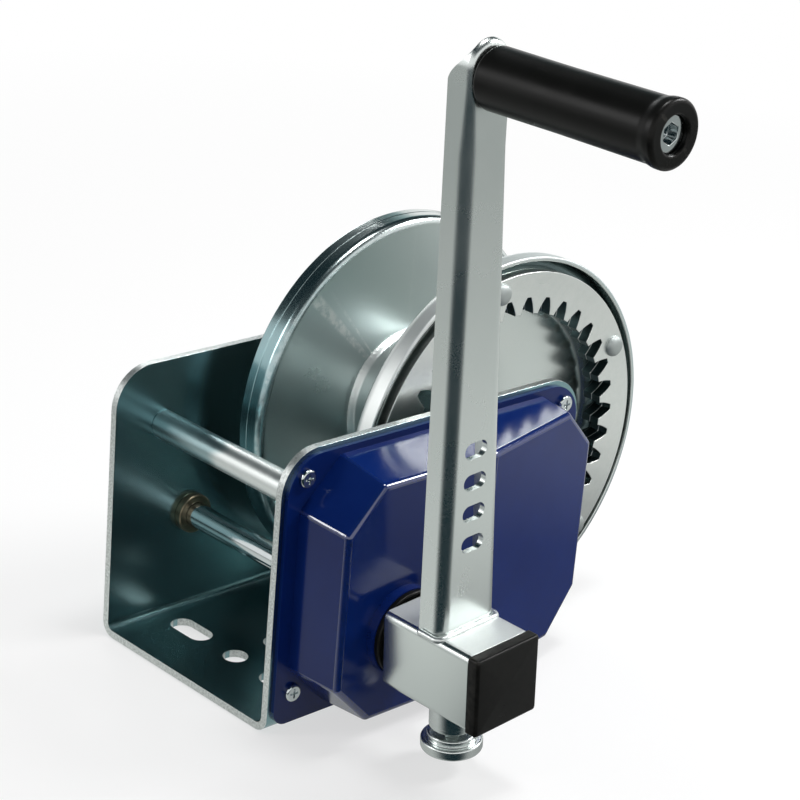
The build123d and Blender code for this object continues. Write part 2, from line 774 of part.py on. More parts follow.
with BuildPart() as drive_block:
    with BuildSketch(crank_front(block_y)):
        RectangleRounded(block_width, block_width, hub_corner_r - hub_wall)
        Circle(shaft_r, mode=Mode.SUBTRACT)
    extrude(amount=block_length)
    bar_v(pin_hole_r, -block_width / 2, -block_width / 2 + pin_reach + side_gap, Mode.SUBTRACT)

with BuildPart() as block_washer:
    bar_y([drive_spot], block_washer_r, block_end_y, block_nut_y)
    bar_y([drive_spot], shaft_r, block_end_y, block_nut_y, Mode.SUBTRACT)

with BuildPart() as block_nut:
    hex_y(drive_spot, block_nut_af, block_nut_y, block_nut_y - block_nut_t)
    bar_y([drive_spot], shaft_r, block_nut_y, block_nut_y - block_nut_t, Mode.SUBTRACT)

with BuildPart() as hub_cap:
    with BuildSketch(crank_front(cap_y)):
        RectangleRounded(hub_width, hub_width, hub_corner_r)
    extrude(amount=cap_t)
    fillet(hub_cap.faces().sort_by(Axis.Y)[0].edges(), radius=cap_edge)
    plug_width = bore_width - 2 * block_fit
    with BuildSketch(crank_front(cap_y + cap_plug_length)):
        RectangleRounded(plug_width, plug_width, hub_corner_r - hub_wall)
        Rectangle(plug_width - 2 * cap_plug_wall, plug_width - 2 * cap_plug_wall, mode=Mode.SUBTRACT)
    extrude(amount=cap_plug_length)


def arm_outline(inset, foot):
    """Tapered arm with a round end, drawn in by an inset and starting at a height along the crank."""
    low = arm_foot_w / 2 - inset
    high = arm_tip_w / 2 - inset
    with BuildLine() as outline:
        Line((-low, foot), (-high, arm_tip_v))
        ThreePointArc((-high, arm_tip_v), (0, arm_tip_v + high), (high, arm_tip_v))
        Polyline((high, arm_tip_v), (low, foot), (-low, foot))
    make_face(outline.edges())


with BuildPart() as crank_arm:
    with BuildSketch(crank_front(arm_back_y)):
        arm_outline(0, hub_half)
    extrude(amount=arm_depth)
    arm_face = crank_arm.faces().sort_by(Axis.Y)[0]
    fillet(arm_face.edges().sort_by(Axis.Z)[1:], radius=arm_edge_r)
    with BuildSketch(crank_front(arm_back_y)):
        arm_outline(arm_t, hub_half)
    extrude(amount=arm_depth - arm_t, mode=Mode.SUBTRACT)
    arm_top_v = arm_tip_v + arm_tip_w
    with BuildSketch(crank_profile()):
        with BuildLine():
            Spline((-arm_back_y, arm_cut_v), (-arm_web_y, arm_cut_end_v), tangents=[(arm_cut_lean, 1)] * 2)
            Polyline((-arm_web_y, arm_cut_end_v), (-arm_web_y, arm_top_v), (-arm_back_y, arm_top_v),
                     (-arm_back_y, arm_cut_v))
        make_face()
    extrude(amount=arm_foot_w, both=True, mode=Mode.SUBTRACT)
    with BuildSketch(crank_front(arm_web_y)):
        with Locations(*[(0, arm_slot_v + k * arm_slot_pitch) for k in range(arm_slot_count)]):
            SlotOverall(arm_slot_length, arm_slot_width)
        with Locations((0, grip_v)):
            Circle(grip_bolt_r)
    extrude(amount=arm_t, mode=Mode.SUBTRACT)

with BuildPart() as grip_bolt:
    bar_y([grip_spot], grip_bolt_r, arm_web_y + grip_nut_t + grip_bolt_tail, grip_head_y + grip_head_t)
    bar_y([grip_spot], grip_head_r, grip_head_y + grip_head_t, grip_head_y)
    hex_y(grip_spot, grip_socket_af, grip_head_y + grip_socket_depth, grip_head_y, Mode.SUBTRACT)

with BuildPart() as grip_washer:
    bar_y([grip_spot], grip_washer_r, arm_y, arm_y - grip_washer_t)
    bar_y([grip_spot], grip_bolt_r, arm_y, arm_y - grip_washer_t, Mode.SUBTRACT)

with BuildPart() as grip_nut:
    hex_y(grip_spot, grip_nut_af, arm_web_y + grip_nut_t, arm_web_y)
    bar_y([grip_spot], grip_bolt_r, arm_web_y + grip_nut_t, arm_web_y, Mode.SUBTRACT)

with BuildPart() as grip:
    bar_y([grip_spot], grip_r, grip_y, grip_end_y)
    bar_y([grip_spot], grip_collar_r, grip_end_y + grip_collar_w, grip_end_y)
    fillet(grip.edges().filter_by(GeomType.CIRCLE).group_by(Axis.Y)[0], radius=grip_end_r)
    fillet(grip.edges().filter_by(GeomType.CIRCLE).group_by(Axis.Y)[-1], radius=grip_end_r)
    recess_floor_y = grip_head_y + grip_head_t + side_gap
    bar_y([grip_spot], grip_head_r + side_gap, recess_floor_y, grip_end_y, Mode.SUBTRACT)
    bar_y([grip_spot], grip_bolt_r + run_fit, grip_y, grip_end_y, Mode.SUBTRACT)

with BuildPart() as plunger_sleeve:
    bar_v(sleeve_r, sleeve_low_v, -hub_half)
    bar_v(sleeve_r - sleeve_wall, sleeve_low_v + sleeve_floor, -hub_half, Mode.SUBTRACT)
    bar_v(pin_hole_r, sleeve_low_v, -hub_half, Mode.SUBTRACT)

pin_low_v = knob_top_v - knob_grasp
with BuildPart() as plunger_pin:
    bar_v(pin_r, pin_low_v, -block_width / 2 + pin_reach)
    bar_v(sleeve_r - sleeve_wall - side_gap, collar_low_v, collar_low_v + collar_t)

with BuildPart() as plunger_knob:
    bar_v(knob_r, knob_low_v, knob_flange_v)
    fillet(plunger_knob.edges().filter_by(GeomType.CIRCLE), radius=knob_edge)
    bar_v(knob_collar_r, knob_flange_v, knob_top_v)
    bar_v(pin_r, pin_low_v, knob_top_v, Mode.SUBTRACT)

with BuildPart() as plunger_spring:
    spring_low_v = sleeve_low_v + sleeve_floor + spring_wire_r + side_gap
    spring_high_v = collar_low_v - spring_wire_r - side_gap
    spring_pitch = (spring_high_v - spring_low_v) / spring_turns
    with BuildLine():
        coil = Helix(spring_pitch, spring_high_v - spring_low_v, spring_r,
                     center=crank_level(spring_low_v).origin, direction=crank_up)
    with BuildSketch(Plane(origin=coil @ 0, z_dir=coil % 0)):
        Circle(spring_wire_r)
    sweep(path=coil, is_frenet=True)
    print("spring gap", round(spring_pitch - 2 * spring_wire_r, 2))

pieces = {
    "frame_channel": frame_channel,
    "stay_tube": stay_tube,
    "stay_bolt": stay_bolt,
    "stay_washer": stay_washer,
    "stay_nut": stay_nut,
    "drum_axle": drum_axle,
    "axle_clip": axle_clip,
    "axle_spacers": axle_spacers,
    "shaft_bush_far": shaft_bush_far,
    "shaft_bush_near": shaft_bush_near,
    "countershaft_bush": countershaft_bush,
    "pawl_pin": pawl_pin,
    "pawl_clip": pawl_clip,
    "cover": cover,
    "cover_screws": cover_screws,
    "seal_collar": seal_collar,
    "drum_barrel": drum_barrel,
    "drum_bushes": drum_bushes,
    "flange_far": flange_far,
    "flange_near": flange_near,
    "ring_gear_front": ring_gear_front,
    "ring_gear_back": ring_gear_back,
    "gear_rivets": gear_rivets,
    "countershaft": countershaft,
    "countershaft_gear": countershaft_gear,
    "countershaft_clip": countershaft_clip,
    "drive_shaft": drive_shaft,
    "shaft_clip": shaft_clip,
    "drive_pinion": drive_pinion,
    "friction_discs": friction_discs,
    "brake_hub": brake_hub,
    "drive_block": drive_block,
    "block_washer": block_washer,
    "block_nut": block_nut,
    "crank_hub": crank_hub,
    "hub_cap": hub_cap,
    "crank_arm": crank_arm,
    "grip_bolt": grip_bolt,
    "grip_washer": grip_washer,
    "grip_nut": grip_nut,
    "plunger_sleeve": plunger_sleeve,
    "plunger_spring": plunger_spring,
    "ratchet": ratchet,
    "pawl": pawl,
    "grip": grip,
    "plunger_pin": plunger_pin,
    "plunger_knob": plunger_knob,
}

os.makedirs("parts", exist_ok=True)
for label, piece in pieces.items():
    piece.part.label = label
    export_step(piece.part, f"parts/{label}.step")
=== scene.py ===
# %% [markdown]
# # A hand winch, dressed for its portrait
# The solids of the winch come in as a fixed frame: every piece already has its place and its joint.
# This lesson keeps that frame, puts finer surfaces over the pieces that show, and gives each surface
# the finish of the real thing: bright zinc, glossy blue moulding, black plastic and dull bronze.

import json
import math

import bmesh
import bpy
import numpy as np
from mathutils import Matrix, Vector


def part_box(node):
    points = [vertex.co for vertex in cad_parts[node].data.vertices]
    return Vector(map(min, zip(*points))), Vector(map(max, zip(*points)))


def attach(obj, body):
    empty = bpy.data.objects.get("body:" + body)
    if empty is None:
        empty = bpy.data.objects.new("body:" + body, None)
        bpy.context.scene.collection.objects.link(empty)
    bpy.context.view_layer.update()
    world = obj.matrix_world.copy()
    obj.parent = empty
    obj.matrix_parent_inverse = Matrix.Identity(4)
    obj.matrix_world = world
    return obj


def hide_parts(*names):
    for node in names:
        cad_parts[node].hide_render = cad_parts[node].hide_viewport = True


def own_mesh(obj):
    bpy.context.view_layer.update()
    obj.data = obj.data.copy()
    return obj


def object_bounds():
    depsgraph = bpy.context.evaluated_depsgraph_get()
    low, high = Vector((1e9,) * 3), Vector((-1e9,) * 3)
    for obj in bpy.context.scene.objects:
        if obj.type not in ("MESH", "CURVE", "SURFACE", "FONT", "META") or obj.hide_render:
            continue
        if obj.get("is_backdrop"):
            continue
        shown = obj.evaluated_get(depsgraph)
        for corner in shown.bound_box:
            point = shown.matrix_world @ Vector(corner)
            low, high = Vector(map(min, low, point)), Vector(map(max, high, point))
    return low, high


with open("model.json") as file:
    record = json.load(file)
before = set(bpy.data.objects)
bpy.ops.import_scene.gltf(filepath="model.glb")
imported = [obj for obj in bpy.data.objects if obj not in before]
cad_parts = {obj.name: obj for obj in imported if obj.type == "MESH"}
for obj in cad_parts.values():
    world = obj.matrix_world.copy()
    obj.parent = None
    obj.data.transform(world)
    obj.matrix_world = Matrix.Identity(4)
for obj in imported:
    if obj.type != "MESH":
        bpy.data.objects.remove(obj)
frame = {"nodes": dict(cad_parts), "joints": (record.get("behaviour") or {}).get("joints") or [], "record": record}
cad_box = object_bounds()
MM = 0.001
bodies = frame["record"]["behaviour"]["bodies"]
body_of = {node: body for body, group in bodies.items() for node in group}
slot_of = {part["node"]: part["material_slot"] for part in frame["record"]["subparts"]}

# %% [markdown]
# ## Camera
# The viewpoint was worked out from the photograph by matching the frame's corners, the drum's circles
# and the crank. It is written as two turns around the winch, a small roll and a focal length in pixels,
# so the picture keeps the same perspective when it is rendered as a square.

# %% Camera
AZIMUTH = math.radians(45.2115)
ELEVATION = math.radians(21.3297)
ROLL = math.radians(4.9642)
FOCAL_PIXELS = 2364.79
IMAGE_PIXELS = 800
SENSOR = 36.0
AIM = Vector((-11.0, -25.0, 80.0)) * MM
DISTANCE = 1195.0 * MM
SLIDE_RIGHT = 20.608 * MM
SLIDE_UP = 56.801 * MM

forward = Vector((math.sin(AZIMUTH) * math.cos(ELEVATION), math.cos(AZIMUTH) * math.cos(ELEVATION),
                  -math.sin(ELEVATION)))
level = Vector((math.cos(AZIMUTH), -math.sin(AZIMUTH), 0.0))
upright = level.cross(forward)
right = level * math.cos(ROLL) + upright * math.sin(ROLL)
up = upright * math.cos(ROLL) - level * math.sin(ROLL)


def add_object(name, data):
    """New object in the scene, at the origin."""
    made_object = bpy.data.objects.new(name, data)
    bpy.context.scene.collection.objects.link(made_object)
    return made_object


camera_data = bpy.data.cameras.new("portrait_camera")
camera_data.sensor_fit = "HORIZONTAL"
camera_data.sensor_width = SENSOR
camera_data.lens = FOCAL_PIXELS / IMAGE_PIXELS * SENSOR
camera = add_object("portrait_camera", camera_data)
spot = AIM - forward * DISTANCE + right * SLIDE_RIGHT + up * SLIDE_UP
camera.matrix_world = Matrix(((right.x, up.x, -forward.x, spot.x), (right.y, up.y, -forward.y, spot.y),
                              (right.z, up.z, -forward.z, spot.z), (0, 0, 0, 1)))
bpy.context.scene.camera = camera
bpy.context.scene.view_settings.view_transform = "Standard"
print("camera: lens", round(camera_data.lens, 2), "mm")

# %% [markdown]
# ## Room, floor and lamps
# A product picture on white needs a backdrop that is white for the camera and for reflections, and a floor
# that keeps a soft shadow. Plated steel shows whatever stands around it. With white on every side it would
# look like chalk, so a dark ceiling hangs over the set, as in a workshop, and softboxes hang below it: the
# plating then gets its dark and bright bands. A grey card on the floor does the same from below. Both are seen
# by reflections alone and take no light. First come a few short functions, one for each kind of shader node.

# %% Nodes in few words
def add_node(tree, kind, **settings):
    """New shader node, its kind named without ShaderNode; inputs={name: value or socket} are set or linked.

    Other words are properties of the node.
    """
    node = tree.nodes.new(kind if kind.startswith("NodeGroup") else "ShaderNode" + kind)
    inputs = settings.pop("inputs", {})
    for key, value in settings.items():
        setattr(node, key, value)
    for key, value in inputs.items():
        if isinstance(value, bpy.types.NodeSocket):
            tree.links.new(value, node.inputs[key])
        else:
            node.inputs[key].default_value = value
    return node


def math_node(tree, operation, a, b=0.0, clamp=False):
    """Result of one operation on two values."""
    return add_node(tree, "Math", operation=operation, use_clamp=clamp, inputs={0: a, 1: b}).outputs[0]


# %% White backdrop and grey fill
FILL_LIGHT = 0.35


def seen_directly(tree):
    """1 for the rays that show the backdrop: from the camera, in a reflection and through glass."""
    paths = add_node(tree, "LightPath").outputs
    mirrored = math_node(tree, "MAXIMUM", paths["Is Camera Ray"], paths["Is Glossy Ray"])
    return math_node(tree, "MAXIMUM", mirrored, paths["Is Transmission Ray"])


world = bpy.data.worlds.new("studio_room")
bpy.context.scene.world = world
world.use_nodes = True
room = world.node_tree
room.nodes.clear()
fill = add_node(room, "Background", inputs={"Color": (1, 1, 1, 1), "Strength": FILL_LIGHT})
white = add_node(room, "Background", inputs={"Color": (1, 1, 1, 1), "Strength": 1.0})
backdrop = add_node(room, "MixShader", inputs={0: seen_directly(room), 1: fill.outputs[0], 2: white.outputs[0]})
add_node(room, "OutputWorld", inputs={"Surface": backdrop.outputs[0]})
print("backdrop: white, fill", FILL_LIGHT)

# %% Values, places and empty materials
def times(tree, a, b, clamp=False):
    """Product of two values."""
    return math_node(tree, "MULTIPLY", a, b, clamp)


def spread(tree, value, low, high, to_low=0.0, to_high=1.0, **settings):
    """Straight line from the span low..high to the span to_low..to_high, held at its ends."""
    spans = {"Value": value, "From Min": low, "From Max": high, "To Min": to_low, "To Max": to_high}
    return add_node(tree, "MapRange", inputs=spans, **settings).outputs["Result"]


def vector_node(tree, operation, a, b=(0, 0, 0), output="Value"):
    """Result of one operation on two vectors."""
    return add_node(tree, "VectorMath", operation=operation, inputs={0: a, 1: b}).outputs[output]


def here(tree):
    """Place on the object."""
    return add_node(tree, "TexCoord").outputs["Object"]


def bare_material(name):
    """Material with an empty node tree; gives both."""
    material = bpy.data.materials.new(name)
    material.use_nodes = True
    material.node_tree.nodes.clear()
    return material, material.node_tree


# %% Floor
FLOOR_HALF, FLOOR_DROP = 6.0, 0.0005
FLOOR_TONE, FLOOR_GLOW = (0.85, 0.85, 0.85, 1), 0.62
GLOW_FROM, GLOW_FULL = 0.3, 1.3


def level_sheet(name, low, high, height):
    """Level rectangle of the set between two corners, marked as stage."""
    mesh = bpy.data.meshes.new(name)
    mesh.from_pydata([(*low, height), (high[0], low[1], height), (*high, height), (low[0], high[1], height)], [],
                     [(0, 1, 2, 3)])
    sheet = add_object(name, mesh)
    sheet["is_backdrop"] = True
    return sheet


floor_z = cad_box[0][2] - FLOOR_DROP
floor = level_sheet("floor", (-FLOOR_HALF, -FLOOR_HALF), (FLOOR_HALF, FLOOR_HALF), floor_z)
floor_paint, tree = bare_material("pale_floor")
matte = add_node(tree, "BsdfDiffuse", inputs={"Color": FLOOR_TONE})
glow = add_node(tree, "Emission", inputs={"Color": (1, 1, 1, 1), "Strength": 1.0})
from_winch = vector_node(tree, "LENGTH", here(tree))
glow_share = times(tree, seen_directly(tree), spread(tree, from_winch, GLOW_FROM, GLOW_FULL, FLOOR_GLOW, 1.0))
floor_mix = add_node(tree, "MixShader", inputs={0: glow_share, 1: matte.outputs[0], 2: glow.outputs[0]})
add_node(tree, "OutputMaterial", inputs={"Surface": floor_mix.outputs[0]})
floor.data.materials.append(floor_paint)
print("floor: keeps the shadow, glow", FLOOR_GLOW)

# %% Dark ceiling
CEILING_LOW, CEILING_HIGH = (-1.9, -1.9), (3.6, 3.7)
CEILING_HEIGHT = 1.7
DARK_TONE, BACK_TONE = (0.006, 0.022, 0.028), (0.26, 0.40, 0.41)
BACK_TONE_FROM, BACK_TONE_FULL = 2.4, 4.2


def blend(tree, share, low, high):
    """Colour between two colours."""
    ends = [(*tone, 1.0) if isinstance(tone, tuple) else tone for tone in (low, high)]
    return add_node(tree, "Mix", data_type="RGBA", inputs={0: share, 6: ends[0], 7: ends[1]}).outputs[2]


def reflected_sheet(name, low, high, height):
    """Sheet that only reflections see, so it gives plating a tone and takes no light; gives its tree."""
    sheet = level_sheet(name, low, high, height)
    for ray in ("camera", "diffuse", "transmission", "shadow"):
        setattr(sheet, "visible_" + ray, False)
    paint, tree = bare_material(name)
    sheet.data.materials.append(paint)
    return tree


def show_tone(tree, tone):
    """Let a sheet glow in a colour."""
    dim = add_node(tree, "Emission", inputs={"Color": tone, "Strength": 1.0})
    add_node(tree, "OutputMaterial", inputs={"Surface": dim.outputs[0]})


tree = reflected_sheet("dark_ceiling", CEILING_LOW, CEILING_HIGH, CEILING_HEIGHT)
to_camera = Vector((-forward.x, -forward.y, 0.0)).normalized()
behind = vector_node(tree, "DOT_PRODUCT", here(tree), -to_camera)
show_tone(tree, blend(tree, spread(tree, behind, BACK_TONE_FROM, BACK_TONE_FULL), DARK_TONE, BACK_TONE))
print("ceiling: dark, at", CEILING_HEIGHT, "m")

# %% Grey card on the floor
CARD_HALF = 2.2
CARD_LIFT = 0.0002
SHADE_GREY, NEAR_GREY, FAR_GREY = (0.26, 0.27, 0.27), (0.76, 0.78, 0.76), (0.38, 0.40, 0.39)
SHADE_AT, NEAR_GREY_AT, FAR_GREY_AT = 0.11, 0.27, 0.95
WINCH_MIDDLE = (0.11, -0.08, 0.0)
CARD_CENTRE = (-0.055, -0.150, 0.0)
FULL_GREY_COS, FULL_DARK_COS = -0.05, 0.80
tree = reflected_sheet("grey_card", (-CARD_HALF, -CARD_HALF), (CARD_HALF, CARD_HALF), floor_z + CARD_LIFT)
place = here(tree)
away = vector_node(tree, "SUBTRACT", place, CARD_CENTRE, "Vector")
cosine = vector_node(tree, "DOT_PRODUCT", vector_node(tree, "NORMALIZE", away, output="Vector"), to_camera)
shade = spread(tree, cosine, FULL_GREY_COS, FULL_DARK_COS, interpolation_type="SMOOTHSTEP")
distance = vector_node(tree, "DISTANCE", place, WINCH_MIDDLE)
# Near the winch the card is darker: a painted shadow of the winch, seen in reflections.
grey = SHADE_GREY
for tone, start, stop in ((NEAR_GREY, SHADE_AT, NEAR_GREY_AT), (FAR_GREY, NEAR_GREY_AT, FAR_GREY_AT)):
    grey = blend(tree, spread(tree, distance, start, stop), grey, tone)
show_tone(tree, blend(tree, shade, grey, DARK_TONE))
print("grey card:", 2 * CARD_HALF, "m wide, dark towards the camera")

# %% Lamps
# Each softbox has a place and an extent in metres, and watts.
softboxes = {
    "top_softbox": ((0.15, -0.15, 1.5), (0.35, 0.35), 9.5),
    "side_softbox": ((1.05, -0.6, 1.1), (0.45, 0.45), 15.0),
    "left_softbox": ((-1.35, 0.7, 0.9), (0.3, 0.6), 4.0),
    "back_softbox": ((0.75, 1.5, 1.0), (0.5, 0.3), 4.5),
}
for name, (place, extent, watts) in softboxes.items():
    data = bpy.data.lights.new(name, "AREA")
    data.shape = "RECTANGLE"
    data.size, data.size_y = extent
    data.energy = watts
    lamp = add_object(name, data)
    lamp.location = place
    lamp.rotation_euler = (AIM - Vector(place)).to_track_quat("-Z", "Y").to_euler()
    lamp.visible_camera = False
print("lamps:", ", ".join(softboxes))

# %% [markdown]
# ## Effects that several finishes share
# Plating, steel and plastic are told apart by small things: cloudy patches, fine specks, scuffs from handling,
# edges worn bright and the circular lines of a lathe. Each effect is one node group with named sockets. It
# gives only masks and heights, and each finish decides what they do to its colour, gloss and bumps.

# %% Node group helper
def new_group(name, place, values, outputs):
    """Shader node group that takes a place and named values; gives its tree, its inputs and its outputs."""
    tree = bpy.data.node_groups.new(name, "ShaderNodeTree")
    tree.interface.new_socket(place, in_out="INPUT", socket_type="NodeSocketVector")
    for label, value in values.items():
        tree.interface.new_socket(label, in_out="INPUT", socket_type="NodeSocketFloat").default_value = value
    for label in outputs:
        tree.interface.new_socket(label, in_out="OUTPUT", socket_type="NodeSocketFloat")
    print("group:", name)
    return tree, add_node(tree, "NodeGroupInput").outputs, add_node(tree, "NodeGroupOutput").inputs


def plus(tree, a, b, clamp=False):
    """Sum of two values."""
    return math_node(tree, "ADD", a, b, clamp)


def noise(tree, place, scale, detail=2.0, roughness=0.5):
    """Noise value of a place."""
    inputs = {"Vector": place, "Scale": scale, "Detail": detail, "Roughness": roughness}
    return add_node(tree, "TexNoise", inputs=inputs).outputs["Fac"]


# %% Cloudy patches and specks
BROAD_SHARE, CLOUD_SPAN, SPECK_SPAN = 0.92, (0.28, 0.72), (0.30, 0.70)
tree, taken, given = new_group("plating_clouds", "Place", {"Patch": 55.0, "Speck": 900.0}, ["Cloud", "Speck"])
broad = noise(tree, taken["Place"], taken["Patch"], detail=3.0, roughness=0.55)
fine = noise(tree, taken["Place"], taken["Speck"], roughness=0.6)
mixed = plus(tree, times(tree, broad, BROAD_SHARE), times(tree, fine, 1 - BROAD_SHARE))
tree.links.new(spread(tree, mixed, *CLOUD_SPAN), given["Cloud"])
tree.links.new(spread(tree, fine, *SPECK_SPAN), given["Speck"])

# %% Scuffs from handling
LONG_TURN, LONG_STRETCH, LONG_SPAN = (12, 35, 20), (35, 35, 1900), (0.64, 0.74)
CROSS_TURN, CROSS_STRETCH, CROSS_SPAN = (70, 10, 55), (1500, 45, 45), (0.66, 0.76)
SCUFF_PATCH, SCUFF_PATCH_SPAN = 38.0, (0.50, 0.68)


def stretched(tree, place, turn, scale):
    """Place turned by three angles in degrees and then stretched along its axes."""
    turned = add_node(tree, "Mapping", vector_type="POINT",
                      inputs={"Vector": place, "Rotation": [math.radians(angle) for angle in turn]})
    return add_node(tree, "Mapping", vector_type="POINT",
                    inputs={"Vector": turned.outputs[0], "Scale": scale}).outputs[0]


tree, taken, given = new_group("handling_scuffs", "Place", {"Amount": 1.0}, ["Scuff"])
place = taken["Place"]
long_marks = spread(tree, noise(tree, stretched(tree, place, LONG_TURN, LONG_STRETCH), scale=1.0), *LONG_SPAN)
cross_marks = spread(tree, noise(tree, stretched(tree, place, CROSS_TURN, CROSS_STRETCH), scale=1.0), *CROSS_SPAN)
patches = spread(tree, noise(tree, place, SCUFF_PATCH), *SCUFF_PATCH_SPAN)
strokes = math_node(tree, "MAXIMUM", long_marks, cross_marks)
tree.links.new(times(tree, times(tree, strokes, patches), taken["Amount"], True), given["Scuff"])

# %% Worn edges
POINTED_SPAN, BREAK_SCALE, BREAK_SPAN = (0.505, 0.58), 260.0, (0.36, 0.62)


def attribute(tree, label):
    """Value that the mesh carries under a name."""
    return add_node(tree, "Attribute", attribute_name=label).outputs["Fac"]


tree, taken, given = new_group("worn_edges", "Place", {"Amount": 1.0}, ["Wear"])
pointed = spread(tree, add_node(tree, "NewGeometry").outputs["Pointiness"], *POINTED_SPAN)
ridge = plus(tree, pointed, attribute(tree, "edge"), True)
broken = spread(tree, noise(tree, taken["Place"], BREAK_SCALE, detail=3.0, roughness=0.6), *BREAK_SPAN)
tree.links.new(times(tree, times(tree, ridge, broken), taken["Amount"], True), given["Wear"])

# %% Lathe lines
WIDE_LINES, THIN_LINES = (0.5, 0.5, 420.0), (1.3, 1.3, 3800.0)
tree, taken, given = new_group("lathe_lines", "Lay", {}, ["Line"])
wide, thin = (noise(tree, stretched(tree, taken["Lay"], (0, 0, 0), stretch), scale=1.0, detail=1.0)
              for stretch in (WIDE_LINES, THIN_LINES))
tree.links.new(plus(tree, times(tree, wide, 0.5), times(tree, thin, 0.5)), given["Line"])

# %% Moulded grain and dust
GRIT_SCALE, GRIT_SPAN, DUST_SCALE, DUST_SPAN = 5200.0, (0.66, 0.78), 30.0, (0.46, 0.72)
tree, taken, given = new_group("moulded_grain", "Place", {"Grain": 3500.0, "Wave": 160.0},
                               ["Grain", "Wave", "Dust"])
place = taken["Place"]
tree.links.new(noise(tree, place, taken["Grain"], roughness=0.6), given["Grain"])
tree.links.new(noise(tree, place, taken["Wave"], detail=1.0, roughness=0.4), given["Wave"])
grit = spread(tree, noise(tree, place, GRIT_SCALE, detail=1.0), *GRIT_SPAN)
where = spread(tree, noise(tree, place, DUST_SCALE, detail=3.0), *DUST_SPAN)
tree.links.new(times(tree, grit, where, True), given["Dust"])

# %% [markdown]
# ## Metal finishes
# The frame, flanges and crank are bright zinc over rolled steel: a cool grey mirror that has gone slightly
# cloudy, with scuffs and bright corners. The punched ring gear is paler and rougher, turned steel carries
# lathe lines, and the bush is dull bronze. One recipe with different values covers them all: a tone between
# two greys, a stain in the specks, bright wear, and a gloss that follows the same masks.

# %% Parts of a recipe
def group_node(tree, name, **inputs):
    """Placed node group with its inputs set; gives its output sockets."""
    return add_node(tree, "Group", node_tree=bpy.data.node_groups[name], inputs=inputs).outputs


def new_finish(name):
    """Material with a Principled shader; gives the material, its tree and the shader's inputs."""
    material, tree = bare_material(name)
    shader = add_node(tree, "BsdfPrincipled")
    add_node(tree, "OutputMaterial", inputs={"Surface": shader.outputs[0]})
    return material, tree, shader.inputs


def bump(tree, height, depth):
    """Normal from a height between 0 and 1 that stands for a depth in metres."""
    return add_node(tree, "Bump", inputs={"Height": height, "Distance": depth, "Strength": 1.0}).outputs[0]


# %% Recipe for a metal
SATIN_ROUGHER, DEEP_ROUGHER, SHEARED_ROUGHER, SCUFF_ROUGHER = 0.22, 0.08, 0.26, 0.06
SATIN_PALER, STAIN_SHARE, SCUFF_PALER = 0.6, 0.07, 0.2
LINE_SPAN, LINE_GLOSS = (0.3, 0.7), 0.03
SPECK_HIGH, LINE_HIGH, SCUFF_DEEP = 0.03, 0.5, 0.15
SHADE_AND_RIVET_TONE = (0.10, 0.145, 0.15)
DEEP_TONE, DEEP_LIGHT = (0.225, 0.37, 0.395), (0.24, 0.385, 0.41)
SHEARED_DARK, SHEARED_LIGHT = (0.42, 0.45, 0.44), (0.76, 0.79, 0.78)


def metal(name, dark, light, stain, bright, gloss, patch=26.0, scuff=1.0, wear=1.0, depth=0.012 * MM):
    """Metal whose tone runs from dark to light with the clouds; gloss is its lowest and highest roughness.

    Attributes of a piece change it: satin makes it paler and less glossy, on the hub's top a painted highlight;
    cut gives it a dark tone, painted shade behind the gear teeth and inside the near rim, and the rivet heads' own
    duller tone; deep a blue-green tone, a passivated film on the frame and the far disc, and painted shade on the
    flange rims and the stay; and sheared the grain of a sheet's torn edge.
    """
    material, tree, shader = new_finish(name)
    place = here(tree)
    lay = add_node(tree, "Attribute", attribute_name="lay").outputs["Vector"]
    clouds = group_node(tree, "plating_clouds", Place=place, Patch=patch)
    marks = group_node(tree, "handling_scuffs", Place=place, Amount=scuff)["Scuff"]
    worn = group_node(tree, "worn_edges", Place=place, Amount=wear)["Wear"]
    lines = group_node(tree, "lathe_lines", Lay=lay)["Line"]
    satin, cut, deep, sheared = (attribute(tree, label) for label in ("satin", "cut", "deep", "sheared"))
    tone = blend(tree, clouds["Cloud"], dark, light)
    # satin pales the tone; on the hub's top this paleness is a painted highlight.
    tone = blend(tree, times(tree, satin, SATIN_PALER), tone, bright)
    # deep: a passivated film, and painted shade on the flange rims and the stay tube.
    tone = blend(tree, deep, tone, blend(tree, clouds["Cloud"], DEEP_TONE, DEEP_LIGHT))
    tone = blend(tree, sheared, tone, blend(tree, clouds["Speck"], SHEARED_DARK, SHEARED_LIGHT))
    tone = blend(tree, times(tree, clouds["Speck"], STAIN_SHARE), tone, stain)
    tone = blend(tree, times(tree, marks, SCUFF_PALER), tone, bright)
    tone = blend(tree, worn, tone, bright)
    # cut: painted shade behind the gear teeth and inside the near rim, and the rivet heads' own darker tone.
    tone = blend(tree, cut, tone, SHADE_AND_RIVET_TONE)
    tree.links.new(tone, shader["Base Color"])
    shader["Metallic"].default_value = 1.0
    rough = spread(tree, clouds["Cloud"], 0.0, 1.0, *gloss)
    for mask, rougher in ((marks, SCUFF_ROUGHER), (satin, SATIN_ROUGHER), (deep, DEEP_ROUGHER),
                          (sheared, SHEARED_ROUGHER)):
        rough = plus(tree, rough, times(tree, mask, rougher))
    rough = plus(tree, rough, spread(tree, lines, *LINE_SPAN, -LINE_GLOSS, LINE_GLOSS), True)
    tree.links.new(rough, shader["Roughness"])
    grain = times(tree, clouds["Speck"], plus(tree, SPECK_HIGH, sheared))
    height = plus(tree, grain, times(tree, lines, LINE_HIGH))
    height = math_node(tree, "SUBTRACT", height, times(tree, marks, SCUFF_DEEP))
    tree.links.new(bump(tree, height, depth), shader["Normal"])
    return material


